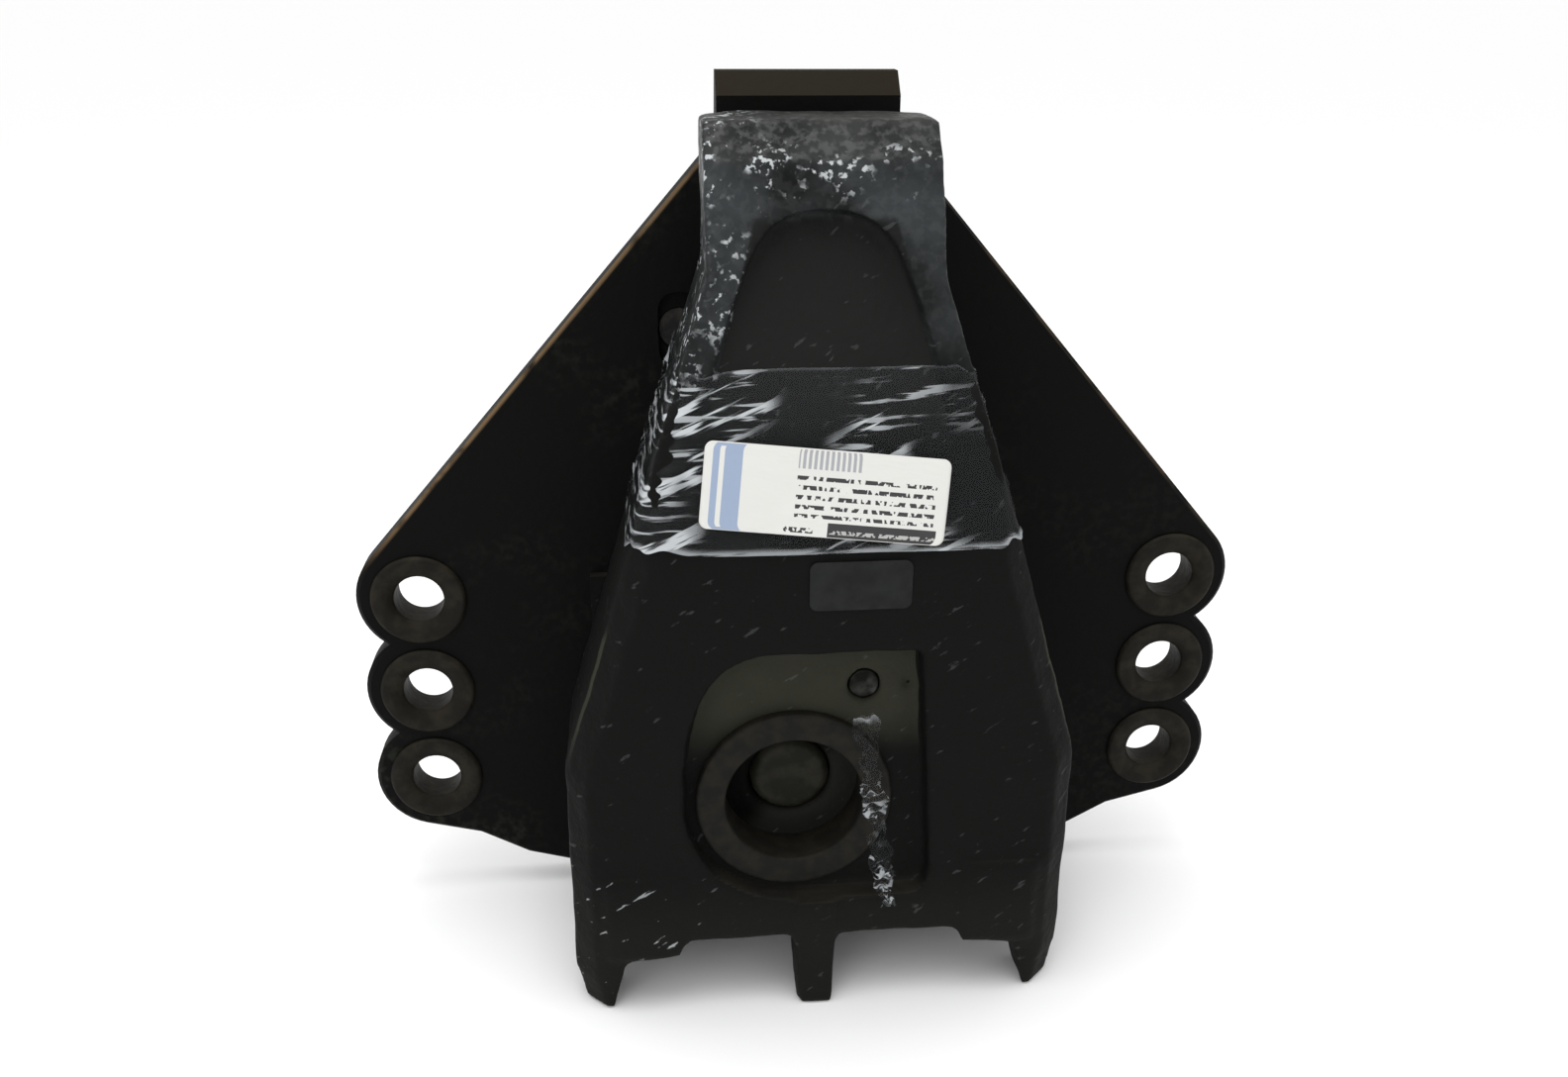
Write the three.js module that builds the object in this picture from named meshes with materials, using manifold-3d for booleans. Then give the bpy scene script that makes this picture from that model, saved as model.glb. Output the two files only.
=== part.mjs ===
// Excavator bucket tooth: a hollow tooth casting pinned in front of a chisel-tipped
// spine bar that carries two bolted wing plates. Millimetres, X across, Y from the
// front to the back, Z up. The origin is on the floor, under the middle of the whole part.
import * as THREE from 'three';
import { mergeVertices } from 'three/addons/utils/BufferGeometryUtils.js';
import Module from 'manifold-3d';

const wasm = await Module();
wasm.setup();

// Clearances
const FIT = 0.4;
const RUNNING_FIT = 0.6;
const OVERCUT = 20;
const JOIN_OVERLAP = 1;

// Tooth casting, outside
const CASTING_HEIGHT = 448;
const CASTING_DEPTH = 106;
const BASE_HALF_WIDTH = 130;
const SKIRT_HEIGHT = 140;
const FLARE_HEIGHT = 116;
const FLARE_HALF_WIDTH = 95;
const CROWN_HEIGHT = 65;
const CROWN_HALF_WIDTH = 55;
const EDGE_BEVEL = 12;
const KNEE_DROP = 6;
const WAIST_LEAN = 30;
const CREST_LEAN = 46;
const CREST_SIZE = 17;

// Tooth casting, socket and legs
const FRONT_WALL = 40;
const BACK_WALL = 24;
const SIDE_WALL = 35;
const SOCKET_HEIGHT = 250;
const SOCKET_TOP_HALF_WIDTH = 62;
const LEG_DEPTH = 26;
const LEG_HEIGHT = 30;
const SKIRT_EDGE = 40;
const FOOT_TIP_WIDTH = 15;
const FOOT_ROOT_WIDTH = 27;
const FOOT_STEP_WIDTH = 23;
const FOOT_STEP_SLOPE = 2;
const FOOT_RAMP = 10;
const PRONG_X = -4;
const PRONG_HALF_WIDTH = 11;
const PRONG_TIP_HALF_WIDTH = 8.5;
const PRONG_HEIGHT = 66;
const PRONG_PROUD = 4;
const PAD_PROUD = 3;
const PAD_WIDTH = 37;
const PAD_HEIGHT = 48;

// Arched pocket in the face under the crown
const POCKET_RIB = 14;
const POCKET_DEPTH = 12;
const POCKET_TOP_DROP = 38;
const POCKET_BOTTOM_DROP = 85;
const POCKET_CORNER = 24;

// Cross bore, its recess and what sits in them
const BORE_X = -15;
const BORE_Z = 120;
const BORE_RADIUS = 35;
const BUSH_WALL = 5;
const BUSH_FLANGE = 10;
const BUSH_FLANGE_THICKNESS = 6;
const BUSH_SEAT_DEPTH = 30;
const RECESS_DEPTH = 12;
const RECESS_MARGIN = 6;
const RECESS_RISE = 86;
const RECESS_RIGHT_TOP = 61;
const RECESS_RIGHT_BOTTOM = 71;
const RECESS_CORNER = 16;
const RECESS_WALL_LEAN = 1;
const RECESS_SHOULDER = 0.95;
const RECESS_SHOULDER_START = 1 / 3;
const PIN_RADIUS = 21;
const PIN_CHAMFER = 3;
const KEEPER_X = 20;
const KEEPER_Z = 182;
const KEEPER_RADIUS = 8;
const KEEPER_LENGTH = 13;
const KEEPER_HOLE_DEPTH = 26;
const KEEPER_SET_BACK = 1.5;
const PLUG_CHAMFER = 1;
const DIMPLE_OFFSET = 22;
const DIMPLE_RADIUS = 4;
const DIMPLE_DEPTH = 3;

// Spine bar and T boss
const REAR_GAP = 9;
const SPINE_HALF_WIDTH = 45.5;
const SPINE_BACKING = 15;
const FLANGE_HALF_WIDTH = 86;
const FLANGE_BOTTOM = 40;
const FLANGE_TOP = 362;
const TIP_RISE = 17;
const CHISEL_FRONT = 11;
const CHISEL_LAND = 10;
const CHISEL_BACK_DROP = 40;
const BOSS_BOTTOM = 60;
const BOSS_TOP = 225;
const BOSS_HEAD_HALF_WIDTH = 58;
const BOSS_NECK_HALF_WIDTH = 44;
const BOSS_PLATE_TOP = 203;
const BOSS_PLATE_HEIGHT = 53;
const BOSS_PLATE_THICKNESS = 5.5;

// Wing plates
const WING_THICKNESS = 20;
const WING_REACH = 82;
const WING_EDGE_ANGLE = THREE.MathUtils.degToRad(49);
const WING_BEVEL = 2.5;
const WING_FOOT_CLEARANCE = 6;
const WING_FOOT_SLOPE = 2;
// Corners of the foot edge, in lobe radii inwards and down from the lowest hole.
const WING_FOOT_CORNERS = [[1.45, 1.65], [0.65, 1.2]];
const LOWEST_LOBE_START = THREE.MathUtils.degToRad(-75);
const HOLE_PITCH = 56.5;
const LOWEST_HOLE_Z = 77;
const HOLE_COUNT = 3;
const LOBE_RADIUS = 34;
const BOLT_HOLE_RADIUS = 13.5;
const RING_WALL = 4.5;
const RING_RADIUS = 26;
const RING_PROUD = 3;

// Plough bolts that hold the wings to the spine
const BOLT_HEIGHTS = [70, 236, 338];
const BOLT_RADIUS = 6;
const BOLT_HEAD_RADIUS = 11;
const BOLT_HEAD_HEIGHT = 7;
const BOLT_HEAD_EDGE = 1.5;
const BOLT_TAIL = 4;
const BOLT_POCKET_DEPTH = 4;
const BOLT_POCKET_HALF_HEIGHT = 20;
const NUT_HEIGHT = 10;
const NUT_RADIUS = 11;

// Stretch film, its loose tail and the label
const FILM_THICKNESS = 0.8;
const FILM_CLEARANCE = 1.2;
const FILM_RISE = 1;
const FILM_WIDTH = 88;
const FILM_STEPS = 8;
const FILM_CORNER_EASE = 0.7;
const FILM_LEAST_CORNER = 1;
const TAIL_WIDTH = 14;
const TAIL_THICKNESS = 1.2;
const TAIL_LENGTH = 114;
const TAIL_DRIFT = 15;
const TAIL_OVERHANG = 4.6;
const TAIL_OFFSET = 2;
const TAIL_CLEARANCE = 1;
const TAIL_STEPS = 8;
const LABEL_WIDTH = 115;
const LABEL_HEIGHT = 41;
const LABEL_THICKNESS = 0.6;
const LABEL_TILT = THREE.MathUtils.degToRad(6);
const LABEL_RISE = 30;
const LABEL_X = -2;
const TAB_WIDTH = 49;
const TAB_HEIGHT = 25;
const TAB_THICKNESS = 0.6;
const TAB_X = 15;
const TAB_TUCK = 5;

// Heights and depths that follow from the sizes above
const flareTopZ = SKIRT_HEIGHT + FLARE_HEIGHT;
const waistZ = CASTING_HEIGHT - CROWN_HEIGHT;
const crestZ = CASTING_HEIGHT - CREST_SIZE;
const kneeZ = flareTopZ - KNEE_DROP;
const backWallY = CASTING_DEPTH - BACK_WALL;
const wingY = CASTING_DEPTH + REAR_GAP;
const flangeY = wingY + WING_THICKNESS + FIT;
const spineBackY = flangeY + SPINE_BACKING;
const tipZ = CASTING_HEIGHT + TIP_RISE;
const holeX = BASE_HALF_WIDTH + WING_REACH;
const highestHoleZ = LOWEST_HOLE_Z + HOLE_PITCH * (HOLE_COUNT - 1);
const wingInnerX = SPINE_HALF_WIDTH + FIT;
const boltX = (SPINE_HALF_WIDTH + FLANGE_HALF_WIDTH) / 2;
const bushRadius = BORE_RADIUS + BUSH_WALL;
const bushFlangeRadius = bushRadius + BUSH_FLANGE;
const filmBottomZ = flareTopZ + FILM_RISE;
const pocketBottomZ = waistZ - POCKET_BOTTOM_DROP;
const pocketTopZ = CASTING_HEIGHT - POCKET_TOP_DROP;
const recessRadius = bushFlangeRadius + RECESS_MARGIN;
const recessBottomZ = BORE_Z - recessRadius;
const boltStartY = wingY + BOLT_POCKET_DEPTH + FIT;
const boltLength = WING_THICKNESS - BOLT_POCKET_DEPTH + SPINE_BACKING + NUT_HEIGHT + BOLT_TAIL;
const boltEndY = boltStartY + boltLength;

const CASTING_PAINT = { color: 0x1b1e21, roughness: 0.5, metalness: 0.35 };
const WING_PAINT = { color: 0x121316, roughness: 0.55, metalness: 0.3 };
const RING_STEEL = { color: 0x2a2620, roughness: 0.45, metalness: 0.6 };
const PIN_STEEL = { color: 0x34332d, roughness: 0.4, metalness: 0.8 };
const RUBBER = { color: 0x0c0c0c, roughness: 0.9, metalness: 0 };
const FILM = { color: 0x9aa0a4, roughness: 0.15, metalness: 0 };
const PAPER = { color: 0xe9e8e2, roughness: 0.6, metalness: 0 };
const TAPE = { color: 0x3a3c3e, roughness: 0.4, metalness: 0 };

// Turns a closed geometry into a solid that can be joined and cut.
function toSolid(geometry) {
  geometry.deleteAttribute('normal');
  geometry.deleteAttribute('uv');
  const merged = mergeVertices(geometry, 1e-4);
  return new wasm.Manifold(new wasm.Mesh({
    numProp: 3,
    vertProperties: new Float32Array(merged.attributes.position.array),
    triVerts: new Uint32Array(merged.index.array),
  }));
}

// Turns a solid back into a geometry that a mesh can show.
function toGeometry(solid) {
  const mesh = solid.getMesh();
  const geometry = new THREE.BufferGeometry();
  geometry.setAttribute('position', new THREE.BufferAttribute(mesh.vertProperties, 3));
  geometry.setIndex(new THREE.BufferAttribute(mesh.triVerts, 1));
  geometry.computeVertexNormals();
  return geometry;
}

// A solid block between two corners.
function block(x0, x1, y0, y1, z0, z1) {
  const geometry = new THREE.BoxGeometry(x1 - x0, y1 - y0, z1 - z0);
  geometry.translate((x0 + x1) / 2, (y0 + y1) / 2, (z0 + z1) / 2);
  return toSolid(geometry);
}

// A round bar along Y.
function roundBar(radius, y0, y1, x = 0, z = 0, segments = 32) {
  const geometry = new THREE.CylinderGeometry(radius, radius, y1 - y0, segments);
  geometry.translate(x, (y0 + y1) / 2, z);
  return toSolid(geometry);
}

// A shape from [x, z, corner radius] points; a corner without a radius stays sharp.
function outline(points) {
  const shape = new THREE.Shape();
  points.forEach(([x, z, radius = 0], index) => {
    const corner = new THREE.Vector2(x, z);
    const [beforeX, beforeZ] = points.at(index - 1);
    const [afterX, afterZ] = points[(index + 1) % points.length];
    const before = new THREE.Vector2(beforeX, beforeZ).sub(corner).setLength(radius).add(corner);
    const after = new THREE.Vector2(afterX, afterZ).sub(corner).setLength(radius).add(corner);
    if (index === 0) shape.moveTo(before.x, before.y);
    else shape.lineTo(before.x, before.y);
    if (radius > 0) shape.quadraticCurveTo(x, z, after.x, after.y);
  });
  shape.closePath();
  return shape;
}

// Extrudes a shape drawn in X and Z from the front face backwards; a bevel narrows both faces.
function plate(shape, frontY, thickness, bevel = 0) {
  const geometry = new THREE.ExtrudeGeometry(shape, {
    depth: thickness - 2 * bevel,
    bevelEnabled: bevel > 0,
    bevelThickness: bevel,
    bevelSize: bevel,
    bevelOffset: -bevel,
    bevelSegments: 1,
    curveSegments: 8,
  });
  geometry.rotateX(Math.PI / 2);
  geometry.translate(0, frontY + thickness - bevel, 0);
  return toSolid(geometry);
}

// Extrudes an outline drawn in Y and Z across the whole width, half to each side.
function prismAcross(points, halfWidth) {
  const shape = new THREE.Shape(points.map(([y, z]) => new THREE.Vector2(y, z)));
  const geometry = new THREE.ExtrudeGeometry(shape, { depth: 2 * halfWidth, bevelEnabled: false });
  geometry.rotateX(Math.PI / 2);
  geometry.rotateZ(Math.PI / 2);
  geometry.translate(-halfWidth, 0, 0);
  return toSolid(geometry);
}

// A turned piece around Y from [radius, y] points.
function turned(points, segments = 32) {
  const profile = points.map(([radius, y]) => new THREE.Vector2(radius, y));
  return new THREE.LatheGeometry(profile, segments);
}

// A closed skin of four-sided cells over rings of points. Each ring is one cross-section; an
// open stack gets its first and last rings filled, a looped one joins back to its start.
function loft(rings, looped) {
  const count = rings[0].length;
  const positions = rings.flat().flatMap((point) => point.toArray());
  const faces = [];
  const lastRing = looped ? rings.length : rings.length - 1;
  for (let ring = 0; ring < lastRing; ring += 1) {
    const next = (ring + 1) % rings.length;
    for (let side = 0; side < count; side += 1) {
      const a = ring * count + side;
      const b = ring * count + ((side + 1) % count);
      const c = next * count + side;
      const d = next * count + ((side + 1) % count);
      faces.push(a, b, d, a, d, c);
    }
  }
  if (!looped) {
    for (let side = 1; side < count - 1; side += 1) {
      const end = (rings.length - 1) * count;
      faces.push(0, side + 1, side, end, end + side, end + side + 1);
    }
  }
  const geometry = new THREE.BufferGeometry();
  geometry.setAttribute('position', new THREE.Float32BufferAttribute(positions, 3));
  geometry.setIndex(faces);
  geometry.computeVertexNormals();
  return geometry;
}

function mirrored(points) {
  return points.map(([x, z, radius]) => [-x, z, radius]).reverse();
}

function valueAt(profile, z) {
  const above = profile.findIndex(([, height]) => height >= z);
  const [v1, z1] = profile.at(above);
  const [v0, z0] = profile[Math.max(above - 1, 0)];
  return z1 === z0 ? v1 : THREE.MathUtils.mapLinear(z, z0, z1, v0, v1);
}

// Half width and front face of the casting at each height, as [value, z] points.
const sideProfile = [
  [BASE_HALF_WIDTH - FOOT_TIP_WIDTH / 2, -OVERCUT],
  [BASE_HALF_WIDTH, SKIRT_EDGE / 2],
  [BASE_HALF_WIDTH, SKIRT_HEIGHT],
  [FLARE_HALF_WIDTH, flareTopZ],
  [CROWN_HALF_WIDTH, waistZ],
  [CROWN_HALF_WIDTH, CASTING_HEIGHT + OVERCUT],
];
const frontProfile = [
  [0, -OVERCUT],
  [0, kneeZ],
  [WAIST_LEAN, waistZ],
  [CREST_LEAN, crestZ],
  [CREST_LEAN + CREST_SIZE, CASTING_HEIGHT],
];

// The pocket's floor, and the casting's front up its middle as far as the pocket's top.
const pocketFloor = [
  [valueAt(frontProfile, pocketBottomZ), pocketBottomZ],
  [valueAt(frontProfile, pocketTopZ) + POCKET_DEPTH, pocketTopZ],
];
const middleProfile = [...frontProfile.filter(([, z]) => z < pocketBottomZ), ...pocketFloor];

// The gap under the skirt between one foot and the middle prong; side is -1 or 1.
function skirtGap(side) {
  const footRoot = BASE_HALF_WIDTH - FOOT_ROOT_WIDTH;
  const step = footRoot - FOOT_STEP_WIDTH;
  const points = [
    [side * (BASE_HALF_WIDTH - FOOT_TIP_WIDTH), -OVERCUT],
    [side * footRoot, LEG_HEIGHT - FOOT_STEP_SLOPE],
    [side * step, LEG_HEIGHT + FOOT_STEP_SLOPE],
    [side * (step - FOOT_RAMP), SKIRT_EDGE],
    [PRONG_X + side * PRONG_HALF_WIDTH, SKIRT_EDGE],
    [PRONG_X + side * PRONG_TIP_HALF_WIDTH, -OVERCUT],
  ];
  return plate(outline(side > 0 ? points.reverse() : points), -OVERCUT, FRONT_WALL + 2 * OVERCUT);
}

// The recess around the bore: round on the left, with a straight leaning wall on the right.
function recessShape() {
  const left = BORE_X - recessRadius;
  const top = BORE_Z + RECESS_RISE;
  const right = BORE_X + RECESS_RIGHT_BOTTOM;
  const shoulderX = BORE_X - recessRadius * RECESS_SHOULDER;
  const shoulderZ = BORE_Z + recessRadius * RECESS_SHOULDER_START;
  const cornerZ = recessBottomZ + RECESS_CORNER;
  const shape = new THREE.Shape();
  shape.moveTo(left, BORE_Z);
  shape.absarc(BORE_X, BORE_Z, recessRadius, Math.PI, Math.PI * 1.5, false);
  shape.lineTo(right - RECESS_CORNER, recessBottomZ);
  shape.quadraticCurveTo(right, recessBottomZ, right - RECESS_WALL_LEAN, cornerZ);
  shape.lineTo(BORE_X + RECESS_RIGHT_TOP, top);
  shape.lineTo(BORE_X - RECESS_CORNER / 2, top);
  shape.quadraticCurveTo(shoulderX, top, left, shoulderZ);
  shape.closePath();
  return shape;
}

// The arched pocket: its walls follow the casting's sides, its floor fades out at the bottom.
function pocketSolid() {
  const shoulder = CROWN_HALF_WIDTH - POCKET_RIB;
  const half = [
    [valueAt(sideProfile, pocketBottomZ) - POCKET_RIB, pocketBottomZ],
    [shoulder, waistZ - CREST_SIZE / 2],
    [shoulder - POCKET_RIB, pocketTopZ, POCKET_CORNER],
  ];
  const floor = [
    [-OVERCUT, pocketBottomZ],
    ...pocketFloor,
    [-OVERCUT, pocketTopZ],
  ];
  const arch = plate(outline([...half, ...mirrored(half)]), -OVERCUT, CASTING_DEPTH);
  return arch.intersect(prismAcross(floor, BASE_HALF_WIDTH));
}

function castingSolid() {
  const half = sideProfile.map(([halfWidth, z]) => [halfWidth, z]);
  const face = outline([...half, ...mirrored(half)]);
  const wedge = prismAcross([
    [-OVERCUT, 0],
    [CASTING_DEPTH + OVERCUT, 0],
    [CASTING_DEPTH + OVERCUT, CASTING_HEIGHT],
    ...frontProfile.slice(1).reverse(),
    [-OVERCUT, kneeZ],
  ], BASE_HALF_WIDTH + OVERCUT);
  let solid = plate(face, 0, CASTING_DEPTH, EDGE_BEVEL).intersect(wedge);

  const socketHalf = [
    [BASE_HALF_WIDTH - SIDE_WALL, -OVERCUT],
    [BASE_HALF_WIDTH - SIDE_WALL, SKIRT_HEIGHT],
    [SOCKET_TOP_HALF_WIDTH, SOCKET_HEIGHT],
  ];
  const socket = outline([...socketHalf, ...mirrored(socketHalf)]);
  solid = solid.subtract(plate(socket, FRONT_WALL, backWallY - FRONT_WALL));
  const windowHalf = BOSS_NECK_HALF_WIDTH + RUNNING_FIT;
  const windowTop = BOSS_TOP + RUNNING_FIT;
  solid = solid.subtract(block(
    -windowHalf, windowHalf, backWallY - JOIN_OVERLAP, wingY, -OVERCUT, windowTop,
  ));
  solid = solid.subtract(block(
    -BASE_HALF_WIDTH - OVERCUT, BASE_HALF_WIDTH + OVERCUT, LEG_DEPTH, backWallY, -OVERCUT, LEG_HEIGHT,
  ));
  solid = solid.subtract(skirtGap(-1)).subtract(skirtGap(1));
  solid = solid.subtract(pocketSolid());

  const prongHalf = [[PRONG_TIP_HALF_WIDTH, 0], [PRONG_HALF_WIDTH, PRONG_HEIGHT]];
  const prong = outline([...prongHalf, ...mirrored(prongHalf)].map(([x, z]) => [x + PRONG_X, z]));
  solid = solid.add(plate(prong, -PRONG_PROUD, PRONG_PROUD + LEG_DEPTH));
  for (const side of [-1, 1]) {
    const outer = side * (BASE_HALF_WIDTH - EDGE_BEVEL - POCKET_RIB / 2);
    const inner = outer - side * PAD_WIDTH;
    const low = LEG_HEIGHT + PAD_PROUD;
    solid = solid.add(block(
      Math.min(outer, inner), Math.max(outer, inner), -PAD_PROUD, PAD_PROUD, low, low + PAD_HEIGHT,
    ));
  }

  solid = solid.subtract(plate(recessShape(), -OVERCUT, RECESS_DEPTH + OVERCUT));
  solid = solid.subtract(roundBar(bushRadius + FIT, 0, BUSH_SEAT_DEPTH + FIT, BORE_X, BORE_Z, 56));
  solid = solid.subtract(roundBar(
    PIN_RADIUS + RUNNING_FIT, 0, FRONT_WALL + JOIN_OVERLAP, BORE_X, BORE_Z,
  ));
  const keeperEnd = RECESS_DEPTH + KEEPER_HOLE_DEPTH;
  solid = solid.subtract(roundBar(KEEPER_RADIUS + FIT, 0, keeperEnd, KEEPER_X, KEEPER_Z, 24));
  const dimpleEnd = RECESS_DEPTH + DIMPLE_DEPTH;
  return solid.subtract(
    roundBar(DIMPLE_RADIUS, 0, dimpleEnd, KEEPER_X + DIMPLE_OFFSET, KEEPER_Z, 16),
  );
}

// The boss that the casting sits on: a head in its socket, a neck through its back, a base plate.
function bossSolid() {
  const head = BOSS_HEAD_HALF_WIDTH;
  const neck = BOSS_NECK_HALF_WIDTH;
  const plateHalf = BASE_HALF_WIDTH - EDGE_BEVEL;
  const plateY = wingY - FIT - BOSS_PLATE_THICKNESS;
  const plateBottom = BOSS_PLATE_TOP - BOSS_PLATE_HEIGHT;
  const headEnd = backWallY - RUNNING_FIT;
  return block(-head, head, FRONT_WALL + RUNNING_FIT, headEnd, BOSS_BOTTOM, BOSS_TOP)
    .add(block(-neck, neck, headEnd - JOIN_OVERLAP, wingY - FIT, BOSS_BOTTOM, BOSS_TOP))
    .add(block(-plateHalf, plateHalf, plateY, wingY - FIT, plateBottom, BOSS_PLATE_TOP))
    .subtract(roundBar(PIN_RADIUS + RUNNING_FIT, 0, wingY + OVERCUT, BORE_X, BORE_Z));
}

// The cutter for one plough bolt: an oval pocket, a countersink and a clearance hole.
function boltCutter() {
  const half = [
    [BOLT_HEAD_RADIUS, -BOLT_POCKET_HALF_HEIGHT, BOLT_HEAD_RADIUS],
    [BOLT_HEAD_RADIUS, BOLT_POCKET_HALF_HEIGHT, BOLT_HEAD_RADIUS],
  ];
  const pocket = plate(outline([...half, ...mirrored(half)]), -OVERCUT, OVERCUT + BOLT_POCKET_DEPTH);
  const reach = WING_THICKNESS + SPINE_BACKING + OVERCUT;
  const cone = turned([
    [0, 0],
    [BOLT_HEAD_RADIUS + FIT, 0],
    [BOLT_HEAD_RADIUS + FIT, BOLT_POCKET_DEPTH + BOLT_HEAD_EDGE + FIT],
    [BOLT_RADIUS + FIT, BOLT_POCKET_DEPTH + BOLT_HEAD_HEIGHT + FIT],
    [BOLT_RADIUS + FIT, reach],
    [0, reach],
  ], 24);
  return pocket.add(toSolid(cone));
}

function spineSolid() {
  const bar = prismAcross([
    [wingY, 0],
    [spineBackY, 0],
    [spineBackY, tipZ - CHISEL_BACK_DROP],
    [wingY + CHISEL_FRONT + CHISEL_LAND, tipZ],
    [wingY + CHISEL_FRONT, tipZ],
    [wingY, tipZ - CHISEL_FRONT],
  ], SPINE_HALF_WIDTH);
  let solid = bar.add(block(
    -FLANGE_HALF_WIDTH, FLANGE_HALF_WIDTH, flangeY, spineBackY, FLANGE_BOTTOM, FLANGE_TOP,
  ));
  for (const side of [-1, 1]) {
    for (const height of BOLT_HEIGHTS) {
      solid = solid.subtract(boltCutter().translate([side * boltX, wingY, height]));
    }
  }
  return solid;
}

// The outline of the right wing: a foot edge, three lobes round the holes, a straight cutting edge.
function wingShape() {
  const crossing = Math.asin(HOLE_PITCH / 2 / LOBE_RADIUS);
  const tangent = Math.PI / 2 - WING_EDGE_ANGLE;
  const edgeX = holeX + LOBE_RADIUS * Math.cos(tangent);
  const edgeZ = highestHoleZ + LOBE_RADIUS * Math.sin(tangent);
  const innerTopZ = edgeZ + (edgeX - wingInnerX) * Math.tan(WING_EDGE_ANGLE);
  const shape = new THREE.Shape();
  shape.moveTo(wingInnerX, WING_FOOT_CLEARANCE);
  shape.lineTo(BASE_HALF_WIDTH - EDGE_BEVEL, WING_FOOT_CLEARANCE + WING_FOOT_SLOPE);
  for (const [inwards, down] of WING_FOOT_CORNERS) {
    shape.lineTo(holeX - LOBE_RADIUS * inwards, LOWEST_HOLE_Z - LOBE_RADIUS * down);
  }
  for (let hole = 0; hole < HOLE_COUNT; hole += 1) {
    const start = hole === 0 ? LOWEST_LOBE_START : -crossing;
    const end = hole === HOLE_COUNT - 1 ? tangent : crossing;
    shape.absarc(holeX, LOWEST_HOLE_Z + HOLE_PITCH * hole, LOBE_RADIUS, start, end, false);
  }
  shape.lineTo(wingInnerX, innerTopZ);
  shape.closePath();
  return shape;
}

function wingSolid(side) {
  let solid = plate(wingShape(), wingY, WING_THICKNESS, WING_BEVEL);
  for (let hole = 0; hole < HOLE_COUNT; hole += 1) {
    const z = LOWEST_HOLE_Z + HOLE_PITCH * hole;
    const radius = BOLT_HOLE_RADIUS + RING_WALL + FIT;
    solid = solid.subtract(roundBar(radius, wingY - JOIN_OVERLAP, flangeY, holeX, z));
  }
  for (const height of BOLT_HEIGHTS) {
    solid = solid.subtract(boltCutter().translate([boltX, wingY, height]));
  }
  return side > 0 ? solid : solid.mirror([1, 0, 0]);
}

function bushGeometry() {
  return turned([
    [BORE_RADIUS, 0],
    [bushFlangeRadius, 0],
    [bushFlangeRadius, BUSH_FLANGE_THICKNESS - FIT],
    [bushRadius, BUSH_FLANGE_THICKNESS - FIT],
    [bushRadius, BUSH_SEAT_DEPTH - RECESS_DEPTH + BUSH_FLANGE_THICKNESS],
    [BORE_RADIUS, BUSH_SEAT_DEPTH - RECESS_DEPTH + BUSH_FLANGE_THICKNESS],
    [BORE_RADIUS, 0],
  ], 56);
}

function pinGeometry(radius, length, chamfer) {
  return turned([
    [0, 0],
    [radius - chamfer, 0],
    [radius, chamfer],
    [radius, length - chamfer],
    [radius - chamfer, length],
    [0, length],
  ]);
}

// A flanged ring for one bolt hole; where holes stand close, its flange is cut flat half-way.
function ringGeometry() {
  const tubeRadius = BOLT_HOLE_RADIUS + RING_WALL;
  const length = RING_PROUD + WING_THICKNESS;
  const ring = turned([
    [BOLT_HOLE_RADIUS, RING_PROUD],
    [BOLT_HOLE_RADIUS + RING_PROUD, 0],
    [RING_RADIUS - RING_PROUD / 2, 0],
    [RING_RADIUS, RING_PROUD / 2],
    [RING_RADIUS, RING_PROUD - FIT],
    [tubeRadius, RING_PROUD - FIT],
    [tubeRadius, length],
    [BOLT_HOLE_RADIUS, length],
    [BOLT_HOLE_RADIUS, RING_PROUD],
  ], 24);
  const share = (HOLE_PITCH - FIT) / 2;
  const reach = RING_RADIUS + OVERCUT;
  const room = block(-reach, reach, -OVERCUT, length + OVERCUT, -share, share);
  return toGeometry(toSolid(ring).intersect(room));
}

function ploughBoltGeometry() {
  return turned([
    [0, 0],
    [BOLT_HEAD_RADIUS, 0],
    [BOLT_HEAD_RADIUS, BOLT_HEAD_EDGE],
    [BOLT_RADIUS, BOLT_HEAD_HEIGHT],
    [BOLT_RADIUS, boltLength],
    [0, boltLength],
  ], 16);
}

function nutGeometry() {
  const hole = roundBar(BOLT_RADIUS + FIT, -OVERCUT, NUT_HEIGHT + OVERCUT, 0, 0, 16);
  return toGeometry(roundBar(NUT_RADIUS, 0, NUT_HEIGHT, 0, 0, 6).subtract(hole));
}

// One cross-section of the wrapped film, a given distance outside the casting.
function filmSection(z, offset) {
  const half = valueAt(sideProfile, z) + offset;
  const front = valueAt(frontProfile, z) - offset;
  const back = CASTING_DEPTH + offset;
  const bevel = Math.max(EDGE_BEVEL - valueAt(frontProfile, z), FILM_LEAST_CORNER);
  const cut = bevel * FILM_CORNER_EASE;
  return [
    [half - cut, front], [half, front + cut], [half, back - cut], [half - cut, back],
    [-half + cut, back], [-half, back - cut], [-half, front + cut], [-half + cut, front],
  ].map(([x, y]) => new THREE.Vector3(x, y, z));
}

function filmGeometry() {
  const outer = [];
  const inner = [];
  for (let step = 0; step <= FILM_STEPS; step += 1) {
    const z = filmBottomZ + (FILM_WIDTH * step) / FILM_STEPS;
    outer.push(filmSection(z, FILM_CLEARANCE + FILM_THICKNESS));
    inner.unshift(filmSection(z, FILM_CLEARANCE));
  }
  return loft([...outer, ...inner], true);
}

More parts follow.
